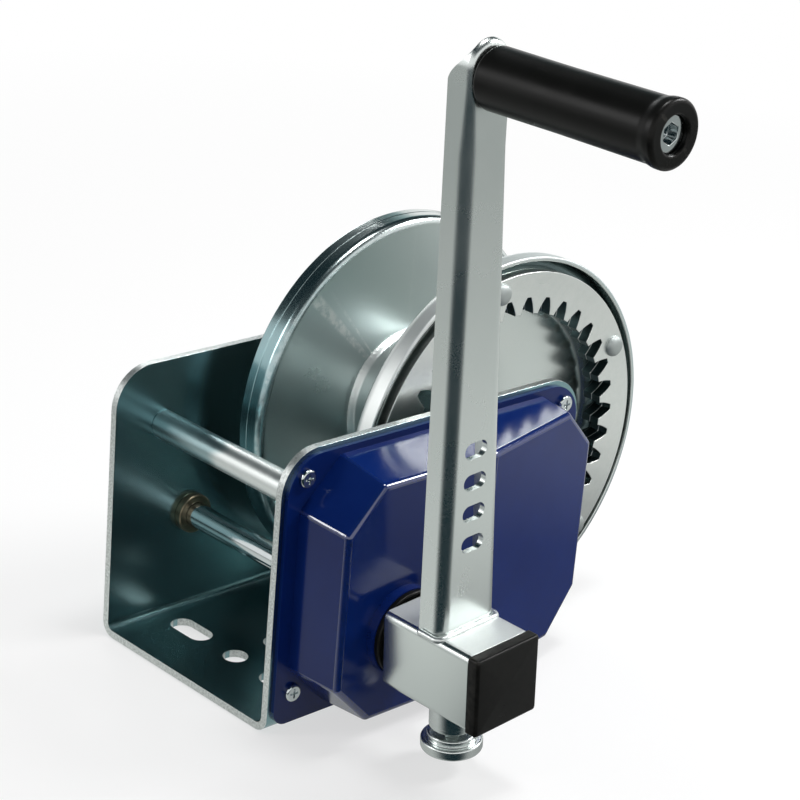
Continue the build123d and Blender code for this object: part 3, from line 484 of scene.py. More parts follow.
# %% Zinc, steel and bronze
finishes = {
    "zinc_plate": metal("zinc_plate", (0.63, 0.685, 0.67), (0.69, 0.735, 0.715), (0.52, 0.54, 0.50),
                        (0.80, 0.83, 0.82), (0.13, 0.19), patch=14.0, scuff=0.15),
    "zinc_steel": metal("zinc_steel", (0.75, 0.79, 0.77), (0.81, 0.84, 0.815), (0.56, 0.52, 0.45),
                        (0.84, 0.86, 0.84), (0.29, 0.36), patch=20.0),
    "bright_steel": metal("bright_steel", (0.58, 0.635, 0.645), (0.65, 0.69, 0.695), (0.50, 0.51, 0.49),
                          (0.80, 0.83, 0.83), (0.09, 0.14), patch=40.0),
    "bronze": metal("bronze", (0.15, 0.128, 0.085), (0.21, 0.178, 0.12), (0.08, 0.068, 0.048),
                    (0.34, 0.27, 0.18), (0.30, 0.42), patch=120.0, depth=0.02 * MM),
}
print("metals:", ", ".join(finishes))

# %% [markdown]
# ## Plastic finishes
# The cover is glossy blue moulding: its surface waves a little, like all large mouldings, and it carries
# fine dust. The cap, the seal and the grip are black with a satin grain and corners rubbed grey. The brake
# linings inside are pressed brown fibre. All three are dielectric, so their gloss comes from the shader. On the
# cover's rounded edges, where the mould is polished smoothest, a glossier coat lies over it.

# %% Recipe for a plastic
SKIN_IOR, SKIN_ROUGH = 2.2, 0.08
DRIFT_PATCH, MOULD_SCUFF, MARK_PALER, MARK_ROUGHER = 22.0, 0.8, 0.12, 0.15


def plastic(name, deep, pale, dusty, worn_tone, gloss, grain_depth, wave_depth, grain=3500.0, dust=0.3, wear=0.6,
            sheen=0.5, edge_coat=0.0):
    """Plastic whose colour drifts from deep to pale; grain and wave depths are in metres.

    edge_coat is the share of a glossier skin on rounded edges, where the mould is polished smoothest.
    """
    material, tree, shader = new_finish(name)
    place = here(tree)
    mould = group_node(tree, "moulded_grain", Place=place, Grain=grain)
    clouds = group_node(tree, "plating_clouds", Place=place, Patch=DRIFT_PATCH)
    marks = group_node(tree, "handling_scuffs", Place=place, Amount=MOULD_SCUFF)["Scuff"]
    worn = group_node(tree, "worn_edges", Place=place, Amount=wear)["Wear"]
    tone = blend(tree, clouds["Cloud"], deep, pale)
    tone = blend(tree, times(tree, mould["Dust"], dust), tone, dusty)
    tone = blend(tree, times(tree, marks, MARK_PALER), tone, worn_tone)
    tone = blend(tree, worn, tone, worn_tone)
    tree.links.new(tone, shader["Base Color"])
    rough = spread(tree, clouds["Cloud"], 0.0, 1.0, *gloss)
    dull = math_node(tree, "MAXIMUM", marks, mould["Dust"])
    rough = plus(tree, rough, times(tree, dull, MARK_ROUGHER), True)
    tree.links.new(rough, shader["Roughness"])
    shader["Specular IOR Level"].default_value = sheen
    if edge_coat:
        shader["Coat IOR"].default_value = SKIN_IOR
        shader["Coat Roughness"].default_value = SKIN_ROUGH
        tree.links.new(times(tree, attribute(tree, "edge"), edge_coat, True), shader["Coat Weight"])
    height = plus(tree, times(tree, mould["Grain"], grain_depth / MM),
                  times(tree, mould["Wave"], wave_depth / MM))
    tree.links.new(bump(tree, height, MM), shader["Normal"])
    return material


# %% Blue, black and fibre
finishes["blue_plastic"] = plastic(
    "blue_plastic", (0.0022, 0.0125, 0.096), (0.0032, 0.0170, 0.118), (0.06, 0.08, 0.16), (0.012, 0.026, 0.17),
    (0.12, 0.16), 0.0, 0.004 * MM, dust=0.04, wear=0.2, sheen=0.28, edge_coat=0.6)
finishes["black_plastic"] = plastic(
    "black_plastic", (0.0038, 0.0038, 0.0034), (0.0065, 0.0065, 0.006), (0.09, 0.09, 0.08), (0.045, 0.043, 0.038),
    (0.26, 0.36), 0.006 * MM, 0.0, dust=0.15, sheen=0.15)
finishes["friction_lining"] = plastic(
    "friction_lining", (0.11, 0.08, 0.055), (0.17, 0.125, 0.085), (0.3, 0.27, 0.22), (0.22, 0.17, 0.12),
    (0.7, 0.85), 0.03 * MM, 0.0, grain=2200.0)
print("plastics:", ", ".join(list(finishes)[-3:]))

# %% [markdown]
# ## Pieces that keep their solid's shape
# Bent sheet, screws and hidden pieces are already right in the solids. A copy with merged corners and a thin
# rounded edge catches the light as a real edge does, where a razor edge would look drawn. The rounding is a
# Bevel modifier, and weighted normals keep the large faces flat up to their rounds. Every face also remembers
# which way it looked before the rounding. The narrow new faces look another way, so they are the ones that
# handling wears bright.

# %% Piece in place of a solid
def finish_piece(name, mesh, slot, body, nodes):
    """Object at the origin for a mesh, with the slot's finish, riding on a body in place of some solids."""
    piece = add_object(name, mesh)
    mesh.materials.append(finishes[slot])
    if nodes:
        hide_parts(*nodes)
    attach(piece, body)
    return piece


# %% Shades of some copies
EDGE_ON = 0.15
BASE_TOP = 20.0 * MM
FACES_UP = 0.9
# The hub's top is made much paler: a painted highlight of the light from above.
HUB_SATIN, HUB_TOP_HIGHLIGHT, ARM_SATIN = 0.2, 1.6, 0.5


def frame_shades(face):
    """Broad faces of the frame are deep; its rims and hole walls, which look along X or up, are sheared."""
    rim = abs(face.normal.x) > EDGE_ON or (face.normal.z > EDGE_ON and face.calc_center_median().z > BASE_TOP)
    return {"deep": float(not rim), "sheared": float(rim)}


def hub_shades(face):
    """The hub is drawn tube, a little satin; its faces that look up are made duller and much paler, a painted
    highlight.
    """
    return {"satin": HUB_TOP_HIGHLIGHT if face.normal.z > FACES_UP else HUB_SATIN}


def arm_shades(face):
    """The arm is rolled sheet, a little duller than fresh plating."""
    return {"satin": ARM_SATIN}


shades_of = {"frame_channel": frame_shades, "crank_hub": hub_shades, "crank_arm": arm_shades}
print("shaded copies:", ", ".join(shades_of))

# %% Dressed copy of a solid
EDGE_ROUND, SHARP = 0.45 * MM, math.radians(32)
SAME_PLACE, SAME_PLANE = 1e-6, math.radians(0.2)
dressed = []


def dress(node, reshape=None):
    """Copy of a solid with merged corners, smooth curves and a thin rounded edge; reshape may move its points."""
    copy = bmesh.new()
    copy.from_mesh(frame["nodes"][node].data)
    bmesh.ops.remove_doubles(copy, verts=copy.verts, dist=SAME_PLACE)
    bmesh.ops.dissolve_limit(copy, angle_limit=SAME_PLANE, verts=copy.verts, edges=copy.edges)
    if reshape is not None:
        reshape(copy)
    for line in copy.edges:
        line.smooth = len(line.link_faces) == 2 and line.calc_face_angle() < SHARP
    copy.normal_update()
    before = copy.faces.layers.float_vector.new("before")
    shades = {label: copy.faces.layers.float.new(label) for label in ("satin", "deep", "sheared")}
    for face in copy.faces:
        face.smooth = True
        face[before] = face.normal
        if node in shades_of:
            for label, share in shades_of[node](face).items():
                face[shades[label]] = share
    mesh = bpy.data.meshes.new(node + "_skin")
    copy.to_mesh(mesh)
    copy.free()
    piece = finish_piece(node + "_skin", mesh, slot_of[node], body_of[node], [node])
    rounding = piece.modifiers.new("edge", "BEVEL")
    rounding.width = EDGE_ROUND
    rounding.segments = 2
    rounding.limit_method = "ANGLE"
    rounding.angle_limit = SHARP
    rounding.harden_normals = True
    dressed.append(piece)


# %% Flat faces
def keep_flats(pieces):
    """Keep the meshes that the modifiers make, with normals weighted by area so that large faces look flat."""
    for piece in pieces:
        flats = piece.modifiers.new("flats", "WEIGHTED_NORMAL")
        flats.mode = "FACE_AREA"
        flats.keep_sharp = True
    graph = bpy.context.evaluated_depsgraph_get()
    for piece in pieces:
        mesh = bpy.data.meshes.new_from_object(piece.evaluated_get(graph), preserve_all_data_layers=True,
                                               depsgraph=graph)
        piece.modifiers.clear()
        bare, piece.data = piece.data, mesh
        bpy.data.meshes.remove(bare)
        mesh.name = piece.name


# %% Rounded edges
STILL_FLAT = math.cos(math.radians(3))
NARROW_AREA, SAME_WAY_DIGITS = 150 * MM * MM, 2


def moulded_rounds(mesh, normals):
    """Faces whose direction few others share: the narrow facets of a moulding's rounded edges."""
    areas = np.empty(len(mesh.polygons))
    mesh.polygons.foreach_get("area", areas)
    alike = np.unique(normals.round(SAME_WAY_DIGITS) + 0.0, axis=0, return_inverse=True)[1].ravel()
    return np.bincount(alike, areas)[alike] < NARROW_AREA


def mark_rounds(pieces):
    """Give the faces of rounded pieces the attribute edge: 1 on a rounding and -1 elsewhere."""
    rounds = 0
    for piece in pieces:
        mesh = piece.data
        before, now = np.empty((2, 3 * len(mesh.polygons)))
        mesh.attributes["before"].data.foreach_get("vector", before)
        mesh.polygons.foreach_get("normal", now)
        rounding = (before * now).reshape(-1, 3).sum(1) < STILL_FLAT
        if piece.name == "cover_skin":
            rounding |= moulded_rounds(mesh, now.reshape(-1, 3))
        mesh.attributes.remove(mesh.attributes["before"])
        mesh.attributes.new("edge", "FLOAT", "FACE").data.foreach_set("value", np.where(rounding, 1.0, -1.0))
        rounds += int(rounding.sum())
    print("rounded edges:", rounds, "narrow faces on", len(pieces), "pieces")


# %% [markdown]
# ## Turned and pressed pieces
# A tube, a bush, a grip or a pressed flange is a line turned around an axis. The line is written as a few
# corners with a radius for each, so a sheet's bend or a rolled edge is one number. numpy turns the whole line
# at once. Each point also keeps its lay, the direction round the axis and the way along the line, and the
# lathe lines follow it without a seam.

# %% Rounded line
ROOM_SHARE, LEAD_SHARE, LEAST_CUT = 0.45, 0.08, 1e-3


def rounded(corners, radii, closed=True, steps=6):
    """Line of (radius, height) points with every corner turned into an arc.

    A corner that turns by an angle t is cut back by radius * tan(t / 2) on both sides, and the arc between the
    cuts A and B is ((1-s)^2 A + 2 w s (1-s) P + s^2 B) / ((1-s)^2 + 2 w s (1-s) + s^2) with w = cos(t / 2),
    which is a true circle. One more point on each side of an arc keeps the flats flat when they are shaded.
    """
    line = np.asarray(corners, float)
    inner = line if closed else line[1:-1]
    back = (np.roll(line, 1, 0) if closed else line[:-2]) - inner
    ahead = (np.roll(line, -1, 0) if closed else line[2:]) - inner
    back_length = np.linalg.norm(back, axis=1, keepdims=True)
    ahead_length = np.linalg.norm(ahead, axis=1, keepdims=True)
    back, ahead = back / back_length, ahead / ahead_length
    half = np.arccos(np.clip(-(back * ahead).sum(1, keepdims=True), -1, 1)) / 2
    room_left = ROOM_SHARE * np.minimum(back_length, ahead_length)
    cut = np.clip(np.asarray(radii, float).reshape(-1, 1) * np.tan(half), LEAST_CUT, room_left)
    s = np.linspace(0, 1, steps + 1)[None, :, None]
    w = np.cos(half)[:, None]
    start, stop = inner + back * cut, inner + ahead * cut
    arc = (1 - s) ** 2 * start[:, None] + 2 * w * s * (1 - s) * inner[:, None] + s ** 2 * stop[:, None]
    arc = arc / ((1 - s) ** 2 + 2 * w * s * (1 - s) + s ** 2)
    lead = inner + back * (cut + LEAD_SHARE * room_left)
    trail = inner + ahead * (cut + LEAD_SHARE * room_left)
    points = np.concatenate([lead[:, None], arc, trail[:, None]], axis=1).reshape(-1, 2)
    return points if closed else np.concatenate([line[:1], points, line[-1:]])


# %% Turned surface
def way_along(line):
    """Way from a line's start to each of its points."""
    return np.concatenate([[0], np.cumsum(np.linalg.norm(np.diff(line, axis=0), axis=1))])


def turned(line, centre, count, axis=(0, 1, 0), side=(1, 0, 0), ripple=None, lathe=1.0):
    """Grid P(angle, line) = centre + height * axis + radius * (cos(angle) * side + sin(angle) * other side).

    ripple(angle, line) may add to the radius. The lay of a point is (cos angle, sin angle, lathe * way along the
    line), so a pressing, with lathe at 0, gets no lathe lines.
    """
    axis, side = np.asarray(axis, float), np.asarray(side, float)
    angle = np.linspace(0, 2 * np.pi, count, endpoint=False)
    around = np.cos(angle)[:, None] * side + np.sin(angle)[:, None] * np.cross(axis, side)
    radius = np.broadcast_to(line[None, :, 0], (count, len(line)))
    if ripple is not None:
        radius = radius + ripple(angle[:, None], line[None])
    grid = np.asarray(centre, float) + line[None, :, 1, None] * axis + radius[:, :, None] * around[:, None]
    lay = np.empty_like(grid)
    lay[:, :, 0], lay[:, :, 1] = np.cos(angle)[:, None], np.sin(angle)[:, None]
    lay[:, :, 2] = lathe * way_along(line)[None] * MM
    return grid, lay


def grid_faces(rows, columns, closed):
    """Four-cornered faces of a grid that closes on itself along its rows, and along its columns if asked."""
    index = np.arange(rows * columns).reshape(rows, columns)
    index = np.concatenate([index, index[:1]], axis=0)
    if closed:
        index = np.concatenate([index, index[:, :1]], axis=1)
    return np.stack([index[:-1, :-1], index[1:, :-1], index[1:, 1:], index[:-1, 1:]], axis=-1).reshape(-1, 4)


# %% Piece from grids
made = set()
BREAK_ANGLE = math.radians(40)
SAME_POINT, NO_LENGTH = 2e-7, 1e-8


def grid_piece(name, node, grids, closed=True, sharp=BREAK_ANGLE, stands_in=True, **shades):
    """One piece from grids in millimetres with their lays: doubles merged, poles closed, faces outward.

    It has the slot and the body of a solid and takes its place, unless stands_in is False. shades give the
    attributes satin, cut or deep: each is one share for all points or a function of the points in millimetres.
    """
    nodes = [node] if stands_in else []
    faces, places, lays, start = [], [], [], 0
    for grid, lay in grids:
        faces.append(grid_faces(*grid.shape[:2], closed) + start)
        places.append(grid.reshape(-1, 3) * MM)
        lays.append(lay.reshape(-1, 3))
        start += len(places[-1])
    points = np.concatenate(places)
    mesh = bpy.data.meshes.new(name)
    mesh.from_pydata(points.tolist(), [], np.concatenate(faces).tolist())
    mesh.attributes.new("lay", "FLOAT_VECTOR", "POINT").data.foreach_set("vector", np.concatenate(lays).ravel())
    for label, shade in shades.items():
        share = shade(points / MM).astype(float) if callable(shade) else np.full(len(points), shade)
        mesh.attributes.new(label, "FLOAT", "POINT").data.foreach_set("value", share)
    shape = bmesh.new()
    shape.from_mesh(mesh)
    bmesh.ops.remove_doubles(shape, verts=shape.verts, dist=SAME_POINT)
    bmesh.ops.dissolve_degenerate(shape, edges=shape.edges, dist=NO_LENGTH)
    bmesh.ops.recalc_face_normals(shape, faces=shape.faces)
    shape.to_mesh(mesh)
    shape.free()
    mesh.shade_smooth()
    mesh.set_sharp_from_angle(angle=sharp)
    made.update(nodes)
    print("piece:", name, len(mesh.polygons), "faces")
    return finish_piece(name, mesh, slot_of[node], body_of[node], nodes)


# %% Measures of a solid
def span_y(node):
    """Lowest and highest y of a solid, in millimetres."""
    low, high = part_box(node)
    return low.y / MM, high.y / MM


def middle(node):
    """Middle of a solid's box, in millimetres, at y = 0."""
    low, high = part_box(node)
    return ((low.x + high.x) / 2 / MM, 0.0, (low.z + high.z) / 2 / MM)


def reach(node):
    """Half of a solid's extent along X, in millimetres: the outer radius of a turned piece."""
    low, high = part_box(node)
    return (high.x - low.x) / 2 / MM


# %% [markdown]
# ## Far flange
# The flange is a dish pressed from sheet: a disc against the rope, a round bend, and a rim that stands away
# from the drum. The press leaves the rim slightly wavy and with a fine line around it. Bright plating shows
# that waviness as broken streaks, so the rim's radius gets a ripple of a few hundredths of a millimetre. The
# disc carries a thin blue-green film, and the rim is painted darker and bluer on its side away from X: painted shade.

# %% Rippled rim
RIPPLE_FROM, RIPPLE_FADE, RIPPLE, RIPPLE_SINK = 0.93, 0.05, 0.016, 0.045
RIM_WAVES = ((9, 0.3, 1.0), (23, -0.9, 1.0), (41, 1.7, 0.7))
drum_axis = middle("flange_far")
drum_r = reach("flange_far")


def ramp(past, width):
    """0 below 0, 1 above a width and a straight line between."""
    return np.clip(past / width, 0, 1)


def press_ripple(angle, line):
    """Small waves around the rim: a sum of sines of the angle and the height, only near the outer radius."""
    on_rim = ramp(line[..., 0] - RIPPLE_FROM * drum_r, RIPPLE_FADE * drum_r)
    waves = sum(size * np.sin(around * angle + lean * line[..., 1]) for around, lean, size in RIM_WAVES)
    return RIPPLE * on_rim * waves - RIPPLE_SINK * on_rim


print("flanges:", round(drum_r, 2), "mm in radius")

# %% Film and painted shade on the far flange
FAR_BEND = 6.0
FAR_SATIN, DISC_FILM, RIM_SHADE = 0.6, 0.32, 1.0


def from_drum_axis(points):
    """Distance of points from the drum's axis."""
    return np.hypot(points[:, 0] - drum_axis[0], points[:, 2] - drum_axis[2])


def off_rim(points):
    """1 on the far disc, fading to 0 through the bend to the rim."""
    return ramp(drum_r - from_drum_axis(points), FAR_BEND)


def satin_far(points):
    """The far disc is evenly dull up to its bend."""
    return FAR_SATIN * off_rim(points)


def far_film_and_shade(points):
    """Share of the blue-green tone: a thin film on the disc, and painted shade on the rim, most on the side away from
    X.
    """
    # Painted shade: the rim's side away from X is made darker and bluer.
    shaded_side = ramp(drum_axis[0] - points[:, 0], drum_r)
    disc = off_rim(points)
    return DISC_FILM * disc + RIM_SHADE * shaded_side * (1 - disc)


# %% Far flange
FINE_TURN = 288
SHEET = 2.5
DISC_HOLE = 16.0
HEM_AT, HEM_HALF, HEM_DEPTH = 0.62, 0.5, 0.16
face_y, edge_y = span_y("flange_far")
hem_y = face_y + HEM_AT * (edge_y - face_y)
far_line = rounded(
    [(DISC_HOLE, face_y), (drum_r, face_y), (drum_r, hem_y - HEM_HALF), (drum_r - HEM_DEPTH, hem_y),
     (drum_r, hem_y + HEM_HALF), (drum_r, edge_y), (drum_r - SHEET, edge_y),
     (drum_r - SHEET, face_y + SHEET), (DISC_HOLE, face_y + SHEET)],
    [0.2, FAR_BEND, 0.3, 0.2, 0.3, 0.9, 0.5, FAR_BEND - SHEET, 0.2])
grid_piece("far_flange_pressing", "flange_far",
           [turned(far_line, drum_axis, FINE_TURN, ripple=press_ripple, lathe=0.0)], satin=satin_far, deep=far_film_and_shade)

# %% [markdown]
# ## Near flange
# The near flange is the same pressing with a step: its middle is a pocket, its outer part a seat for the ring
# gear, and its rim wraps around the gear. The rope side is one line with 6 mm bends. The front side is the
# same line a sheet's thickness away, so its bends are that much tighter or wider. The wall behind the teeth and
# the rim's inside are painted dark as shade, and the outside of the rim is rubbed dull and painted darker on its side
# along X as shade.

# %% Line of the near flange
BEND = 6.0
POCKET_R, SEAT_R = 74.4, 79.4
near_low, near_high = span_y("flange_near")
seat_y = span_y("ring_gear_back")[1] + SHEET
slope = math.atan2(near_high - seat_y, SEAT_R - POCKET_R)
shift = SHEET * math.tan(slope / 2)
near_line = rounded(
    [(DISC_HOLE, near_high), (POCKET_R, near_high), (SEAT_R, seat_y), (drum_r, seat_y), (drum_r, near_low),
     (drum_r - SHEET, near_low), (drum_r - SHEET, seat_y - SHEET), (SEAT_R - shift, seat_y - SHEET),
     (POCKET_R - shift, near_high - SHEET), (DISC_HOLE, near_high - SHEET)],
    [0.2, BEND, BEND, BEND, 0.9, 0.6, BEND - SHEET, BEND + SHEET, BEND - SHEET, 0.2])
print("near flange: its step slopes by", round(math.degrees(slope), 1), "degrees")

# %% Near flange
SHADE_IN_R, SHADE_OUT_R, RIM_LIP = POCKET_R - 2.9, POCKET_R, 0.9
WALL_SHADE, RIM_INSIDE_SHADE = 0.9, 0.95
FRONT_SHARE, INSIDE_PLAY = 0.8, 0.3
POCKET_SATIN, RIM_SATIN, NEAR_RIM_SHADE = 0.25, 1.4, 0.6
DISC_END, DISC_FADE = 0.95, 0.04


def painted_shade_corners(points):
    """High on the front side in the corners where shade falls: painted shade on the pocket's wall behind the teeth and
    on the rim's inside.
    """
    out_r = from_drum_axis(points)
    in_pocket = out_r < SEAT_R
    front = points[:, 1] < np.where(in_pocket, near_high, seat_y) - FRONT_SHARE * SHEET
    inside = (out_r < drum_r - SHEET + INSIDE_PLAY) & (points[:, 1] > near_low + RIM_LIP)
    corner_shade = np.where(in_pocket, WALL_SHADE, RIM_INSIDE_SHADE)
    # Painted shade in the corners behind the teeth and inside the rim.
    return corner_shade * ramp(out_r - SHADE_IN_R, SHADE_OUT_R - SHADE_IN_R) * front * inside


def on_lip(points):
    """True on the outside of the near rim."""
    return from_drum_axis(points) > drum_r - SHEET / 2


def satin_near(points):
    """A little on the disc, fading out in its bend, and more on the rim's outside, which is rubbed dull."""
    disc = ramp(DISC_END * drum_r - from_drum_axis(points), DISC_FADE * drum_r)
    return np.maximum(POCKET_SATIN * disc, RIM_SATIN * on_lip(points))


def near_rim_shade(points):
    """Share of painted shade, in the blue-green tone, on the near rim's outside, on the side along X."""
    # Painted shade on the rim's side along X.
    return NEAR_RIM_SHADE * ramp(points[:, 0] - drum_axis[0], drum_r) * on_lip(points)


grid_piece("near_flange_pressing", "flange_near",
           [turned(near_line, drum_axis, FINE_TURN, ripple=press_ripple, lathe=0.0)], satin=satin_near,
           cut=painted_shade_corners, deep=near_rim_shade)

# %% [markdown]
# ## Barrel and its welds
# The barrel is a tube between the flanges, and a weld runs round it where it meets each one. The tube is a
# turned line that flares into the two welds. A ripple of many small waves, only on the flare, gives the weld
# its scales. Two rings laid on a plain tube would show a seam where a real weld flows into the metal.

# %% Barrel
BARREL_WALL = 3.5
WELD, WELD_RUN, THROAT, THROAT_AT = 3.0, 0.5, 0.6, 1.6
SCALES, SCALE_LEAN, SCALE_HIGH = 48, 0.8, 0.35
LUMPS, LUMP_HIGH, WELD_SINK = 7, 0.25, 0.5
DRAWN_SATIN = 1.0
barrel_r = reach("drum_barrel")
barrel_low, barrel_high = span_y("drum_barrel")


def weld_scales(angle, line):
    """Scales of a weld: waves around the tube that grow where the radius is larger than the tube's."""
    on_weld = ramp(line[..., 0] - barrel_r, WELD)
    scales = SCALE_HIGH * np.abs(np.sin(SCALES * angle + SCALE_LEAN * line[..., 1]))
    return on_weld * (scales + LUMP_HIGH * np.sin(LUMPS * angle) - WELD_SINK)


barrel_line = rounded(
    [(barrel_r - BARREL_WALL, barrel_low), (barrel_r + WELD, barrel_low),
     (barrel_r + THROAT * WELD, barrel_low + THROAT_AT), (barrel_r, barrel_low + WELD + WELD_RUN),
     (barrel_r, barrel_high - WELD - WELD_RUN), (barrel_r + THROAT * WELD, barrel_high - THROAT_AT),
     (barrel_r + WELD, barrel_high), (barrel_r - BARREL_WALL, barrel_high)],
    [0.2, 0.5, 2.0, 2.0, 2.0, 2.0, 0.5, 0.2])
grid_piece("barrel_with_welds", "drum_barrel", [turned(barrel_line, drum_axis, FINE_TURN, ripple=weld_scales)],
           satin=DRAWN_SATIN)

# %% [markdown]
# ## Ring gear
# The internal gear is two punched plates riveted together. Each plate is a band between a circle and the tooth
# outline. The outline comes from the involute, the curve that a taut string draws as it leaves the base
# circle: at a radius r, with cos(t) = base / r, the tooth's half angle shrinks by tan(t) - t. Every point of
# the outline is paired with a point of the circle, so the plate is one closed grid with rounded edges. Cutting
# the gaps out of a ring with a Boolean would leave long thin faces, and no even edge to catch the light.

# %% Tooth outline
TEETH = 35
MODULE = 4.25
PRESSURE = math.radians(20.0)
SHIFT = 0.25
PLAY = -0.3
PHASE = math.radians(3.38)
ROOT_R, TIP_R = 71.4, 80.1125
FLANK_STEPS, LAND_STEPS = 8, 4


def involute(turn):
    """How far the end of a taut string has turned: tan(t) - t."""
    return np.tan(turn) - turn


def tooth_gap_outline():
    """Angles and radii of the ring's inside: 35 gaps, each two involute flanks, a floor arc and a land arc."""
    base = MODULE * TEETH / 2 * math.cos(PRESSURE)
    radius = np.linspace(ROOT_R, TIP_R, FLANK_STEPS)
    half = ((math.pi / 2 + 2 * SHIFT * math.tan(PRESSURE)) / TEETH + involute(PRESSURE)
            - involute(np.arccos(np.minimum(1.0, base / radius))) - PLAY / (MODULE * TEETH))
    floor_angle = np.linspace(-half[-1], half[-1], LAND_STEPS + 2)[1:-1]
    land_angle = np.linspace(half[0], 2 * np.pi / TEETH - half[0], LAND_STEPS + 2)[1:-1]
    one_angle = np.concatenate([-half, floor_angle, half[::-1], land_angle])
    one_radius = np.concatenate([radius, np.full(LAND_STEPS, TIP_R), radius[::-1], np.full(LAND_STEPS, ROOT_R)])
    angle = (PHASE + np.arange(TEETH)[:, None] * 2 * np.pi / TEETH + one_angle[None]).ravel()
    return angle, np.tile(one_radius, TEETH)


gap_angle, gap_radius = tooth_gap_outline()
print("tooth outline:", len(gap_angle), "points")

# %% Punched plate
EDGE = 0.35
PUNCHED_LAY = 0.5


def ring_plate(outer_r, back_y, front_y):
    """Closed grid of a punched plate: rows follow the tooth outline, columns run around the plate's section."""
    ring = np.stack([np.cos(gap_angle), np.sin(gap_angle)], axis=1)
    inside = gap_radius[:, None] * ring
    tangent = np.roll(inside, -1, 0) - np.roll(inside, 1, 0)
    into_metal = np.stack([tangent[:, 1], -tangent[:, 0]], axis=1) / np.linalg.norm(tangent, axis=1, keepdims=True)
    bow = EDGE * (1 - math.sqrt(0.5))
    corner = [(EDGE, 0.0), (bow, bow), (0.0, EDGE)]
    section = [(ring * (outer_r - a), back_y - b) for a, b in corner]
    section += [(ring * (outer_r - a), front_y + b) for a, b in corner[::-1]]
    section += [(inside + into_metal * a, front_y + b) for a, b in corner]
    section += [(inside + into_metal * a, back_y - b) for a, b in corner[::-1]]
    flat = np.stack([points for points, _ in section], axis=1)
    grid = np.empty((len(ring), len(section), 3))
    grid[:, :, 0] = drum_axis[0] + flat[:, :, 0]
    grid[:, :, 1] = np.array([height for _, height in section])[None]
    grid[:, :, 2] = drum_axis[2] + flat[:, :, 1]
    lay = np.zeros_like(grid)
    lay[:, :, :2] = ring[:, None] * PUNCHED_LAY
    lay[:, :, 2] = (np.linalg.norm(flat, axis=2) - grid[:, :, 1]) * MM
    return grid, lay


# %% Two plates
TOOTH_WALL_R = TIP_R + EDGE
PLATE_BREAK_ANGLE = math.radians(50)


def tooth_wall_shade(points):
    """1 on the walls of the teeth, darkened as painted shade in the tooth gaps, 0 on the plates' faces and rims."""
    return (from_drum_axis(points) < TOOTH_WALL_R) & (points[:, 1] > plate_low + EDGE / 2) & (
        points[:, 1] < plate_high - EDGE / 2)


plates = []
# The walls of the teeth get the dark cut tone: painted shade in the tooth gaps.
for plate_name in ("ring_gear_front", "ring_gear_back"):
    plate_low, plate_high = span_y(plate_name)
    plates.append(grid_piece(plate_name + "_plate", plate_name,
                             [ring_plate(reach(plate_name), plate_high, plate_low)], sharp=PLATE_BREAK_ANGLE,
                             cut=tooth_wall_shade))
keep_flats(plates)

# %% [markdown]
# ## Rivets
# Five rivets hold the gear to the flange. A rivet's head is a full dome, flatter on top than a sphere because
# the snap tool pressed it, and its shank and tail hide in the plates. The dome's line is a superellipse: radius
# R sin(t)^p and height H cos(t)^p with p below 1. All five rivets are one turned line at five places. The snap
# tool leaves the heads duller and darker than the plates.

# %% Rivets
RIVETS, RIVET_PHASE = 5, math.radians(27.9)
RIVET_PITCH_R = 86.5125
RIVET_HEAD_R, RIVET_SHANK_R, RIVET_TAIL_R = 5.8, 4.0, 4.6
RIVET_FULLNESS, DOME_STEPS, RIVET_TURN = 0.78, 15, 40
RIVET_DARK, RIVET_SATIN = 0.5, 1.0
rivet_low, rivet_high = span_y("gear_rivets")
gear_face_y = span_y("ring_gear_front")[0]
dome = np.linspace(0, np.pi / 2, DOME_STEPS)[:, None]
dome_line = np.concatenate([RIVET_HEAD_R * np.sin(dome) ** RIVET_FULLNESS,
                            gear_face_y - (gear_face_y - rivet_low) * np.cos(dome).clip(0) ** RIVET_FULLNESS], axis=1)
shank_line = np.array([(RIVET_SHANK_R, gear_face_y), (RIVET_SHANK_R, seat_y), (RIVET_TAIL_R, seat_y),
                       (RIVET_TAIL_R, rivet_high), (0.0, rivet_high)])
rivet_line = np.concatenate([dome_line, shank_line])
rivet_turns = [RIVET_PHASE + k * 2 * math.pi / RIVETS for k in range(RIVETS)]
rivet_spots = [(drum_axis[0] + RIVET_PITCH_R * math.cos(angle), 0.0, drum_axis[2] + RIVET_PITCH_R * math.sin(angle))
               for angle in rivet_turns]
grid_piece("gear_rivet_heads", "gear_rivets", [turned(rivet_line, spot, RIVET_TURN) for spot in rivet_spots],
           closed=False, cut=RIVET_DARK, satin=RIVET_SATIN)

# %% [markdown]
# ## Stay tube, shaft and bush
# The stay is a cut tube, the drive shaft a turned bar with chamfered ends and a clip groove, and the bush a
# flanged ring of sintered bronze. All three are short lines turned around their axes, with small rounds where
# the tools broke the edges. From the far plate to a wavy line near its middle the stay is painted darker and
# bluer, a painted reflection of the dark frame around it.

# %% Stay tube
stay_low, stay_high = span_y("stay_tube")
STAY_BORE_R, TUBE_TURN = 4.5, 96
WALL_STEPS, STAY_REFLECTION_END, STAY_REFLECTION_FADE, STAY_REFLECTION = 60, 8.0, 7.0, 0.8
STAY_REFLECTION_WAVES = ((2, 0.6, 3.0), (5, 0.0, 1.5))
STAY_REFLECTION_SHINE = 0.5
stay_r = reach("stay_tube")
stay_line = rounded([(STAY_BORE_R, stay_low), (stay_r, stay_low), (stay_r, stay_high), (STAY_BORE_R, stay_high)],
                    [0.3, 0.5, 0.5, 0.3])
wall = int(np.argmax(np.abs(np.diff(stay_line[:, 1]))))
stay_line = np.insert(stay_line, wall + 1, np.linspace(stay_line[wall], stay_line[wall + 1], WALL_STEPS)[1:-1], axis=0)
stay_spot = middle("stay_tube")


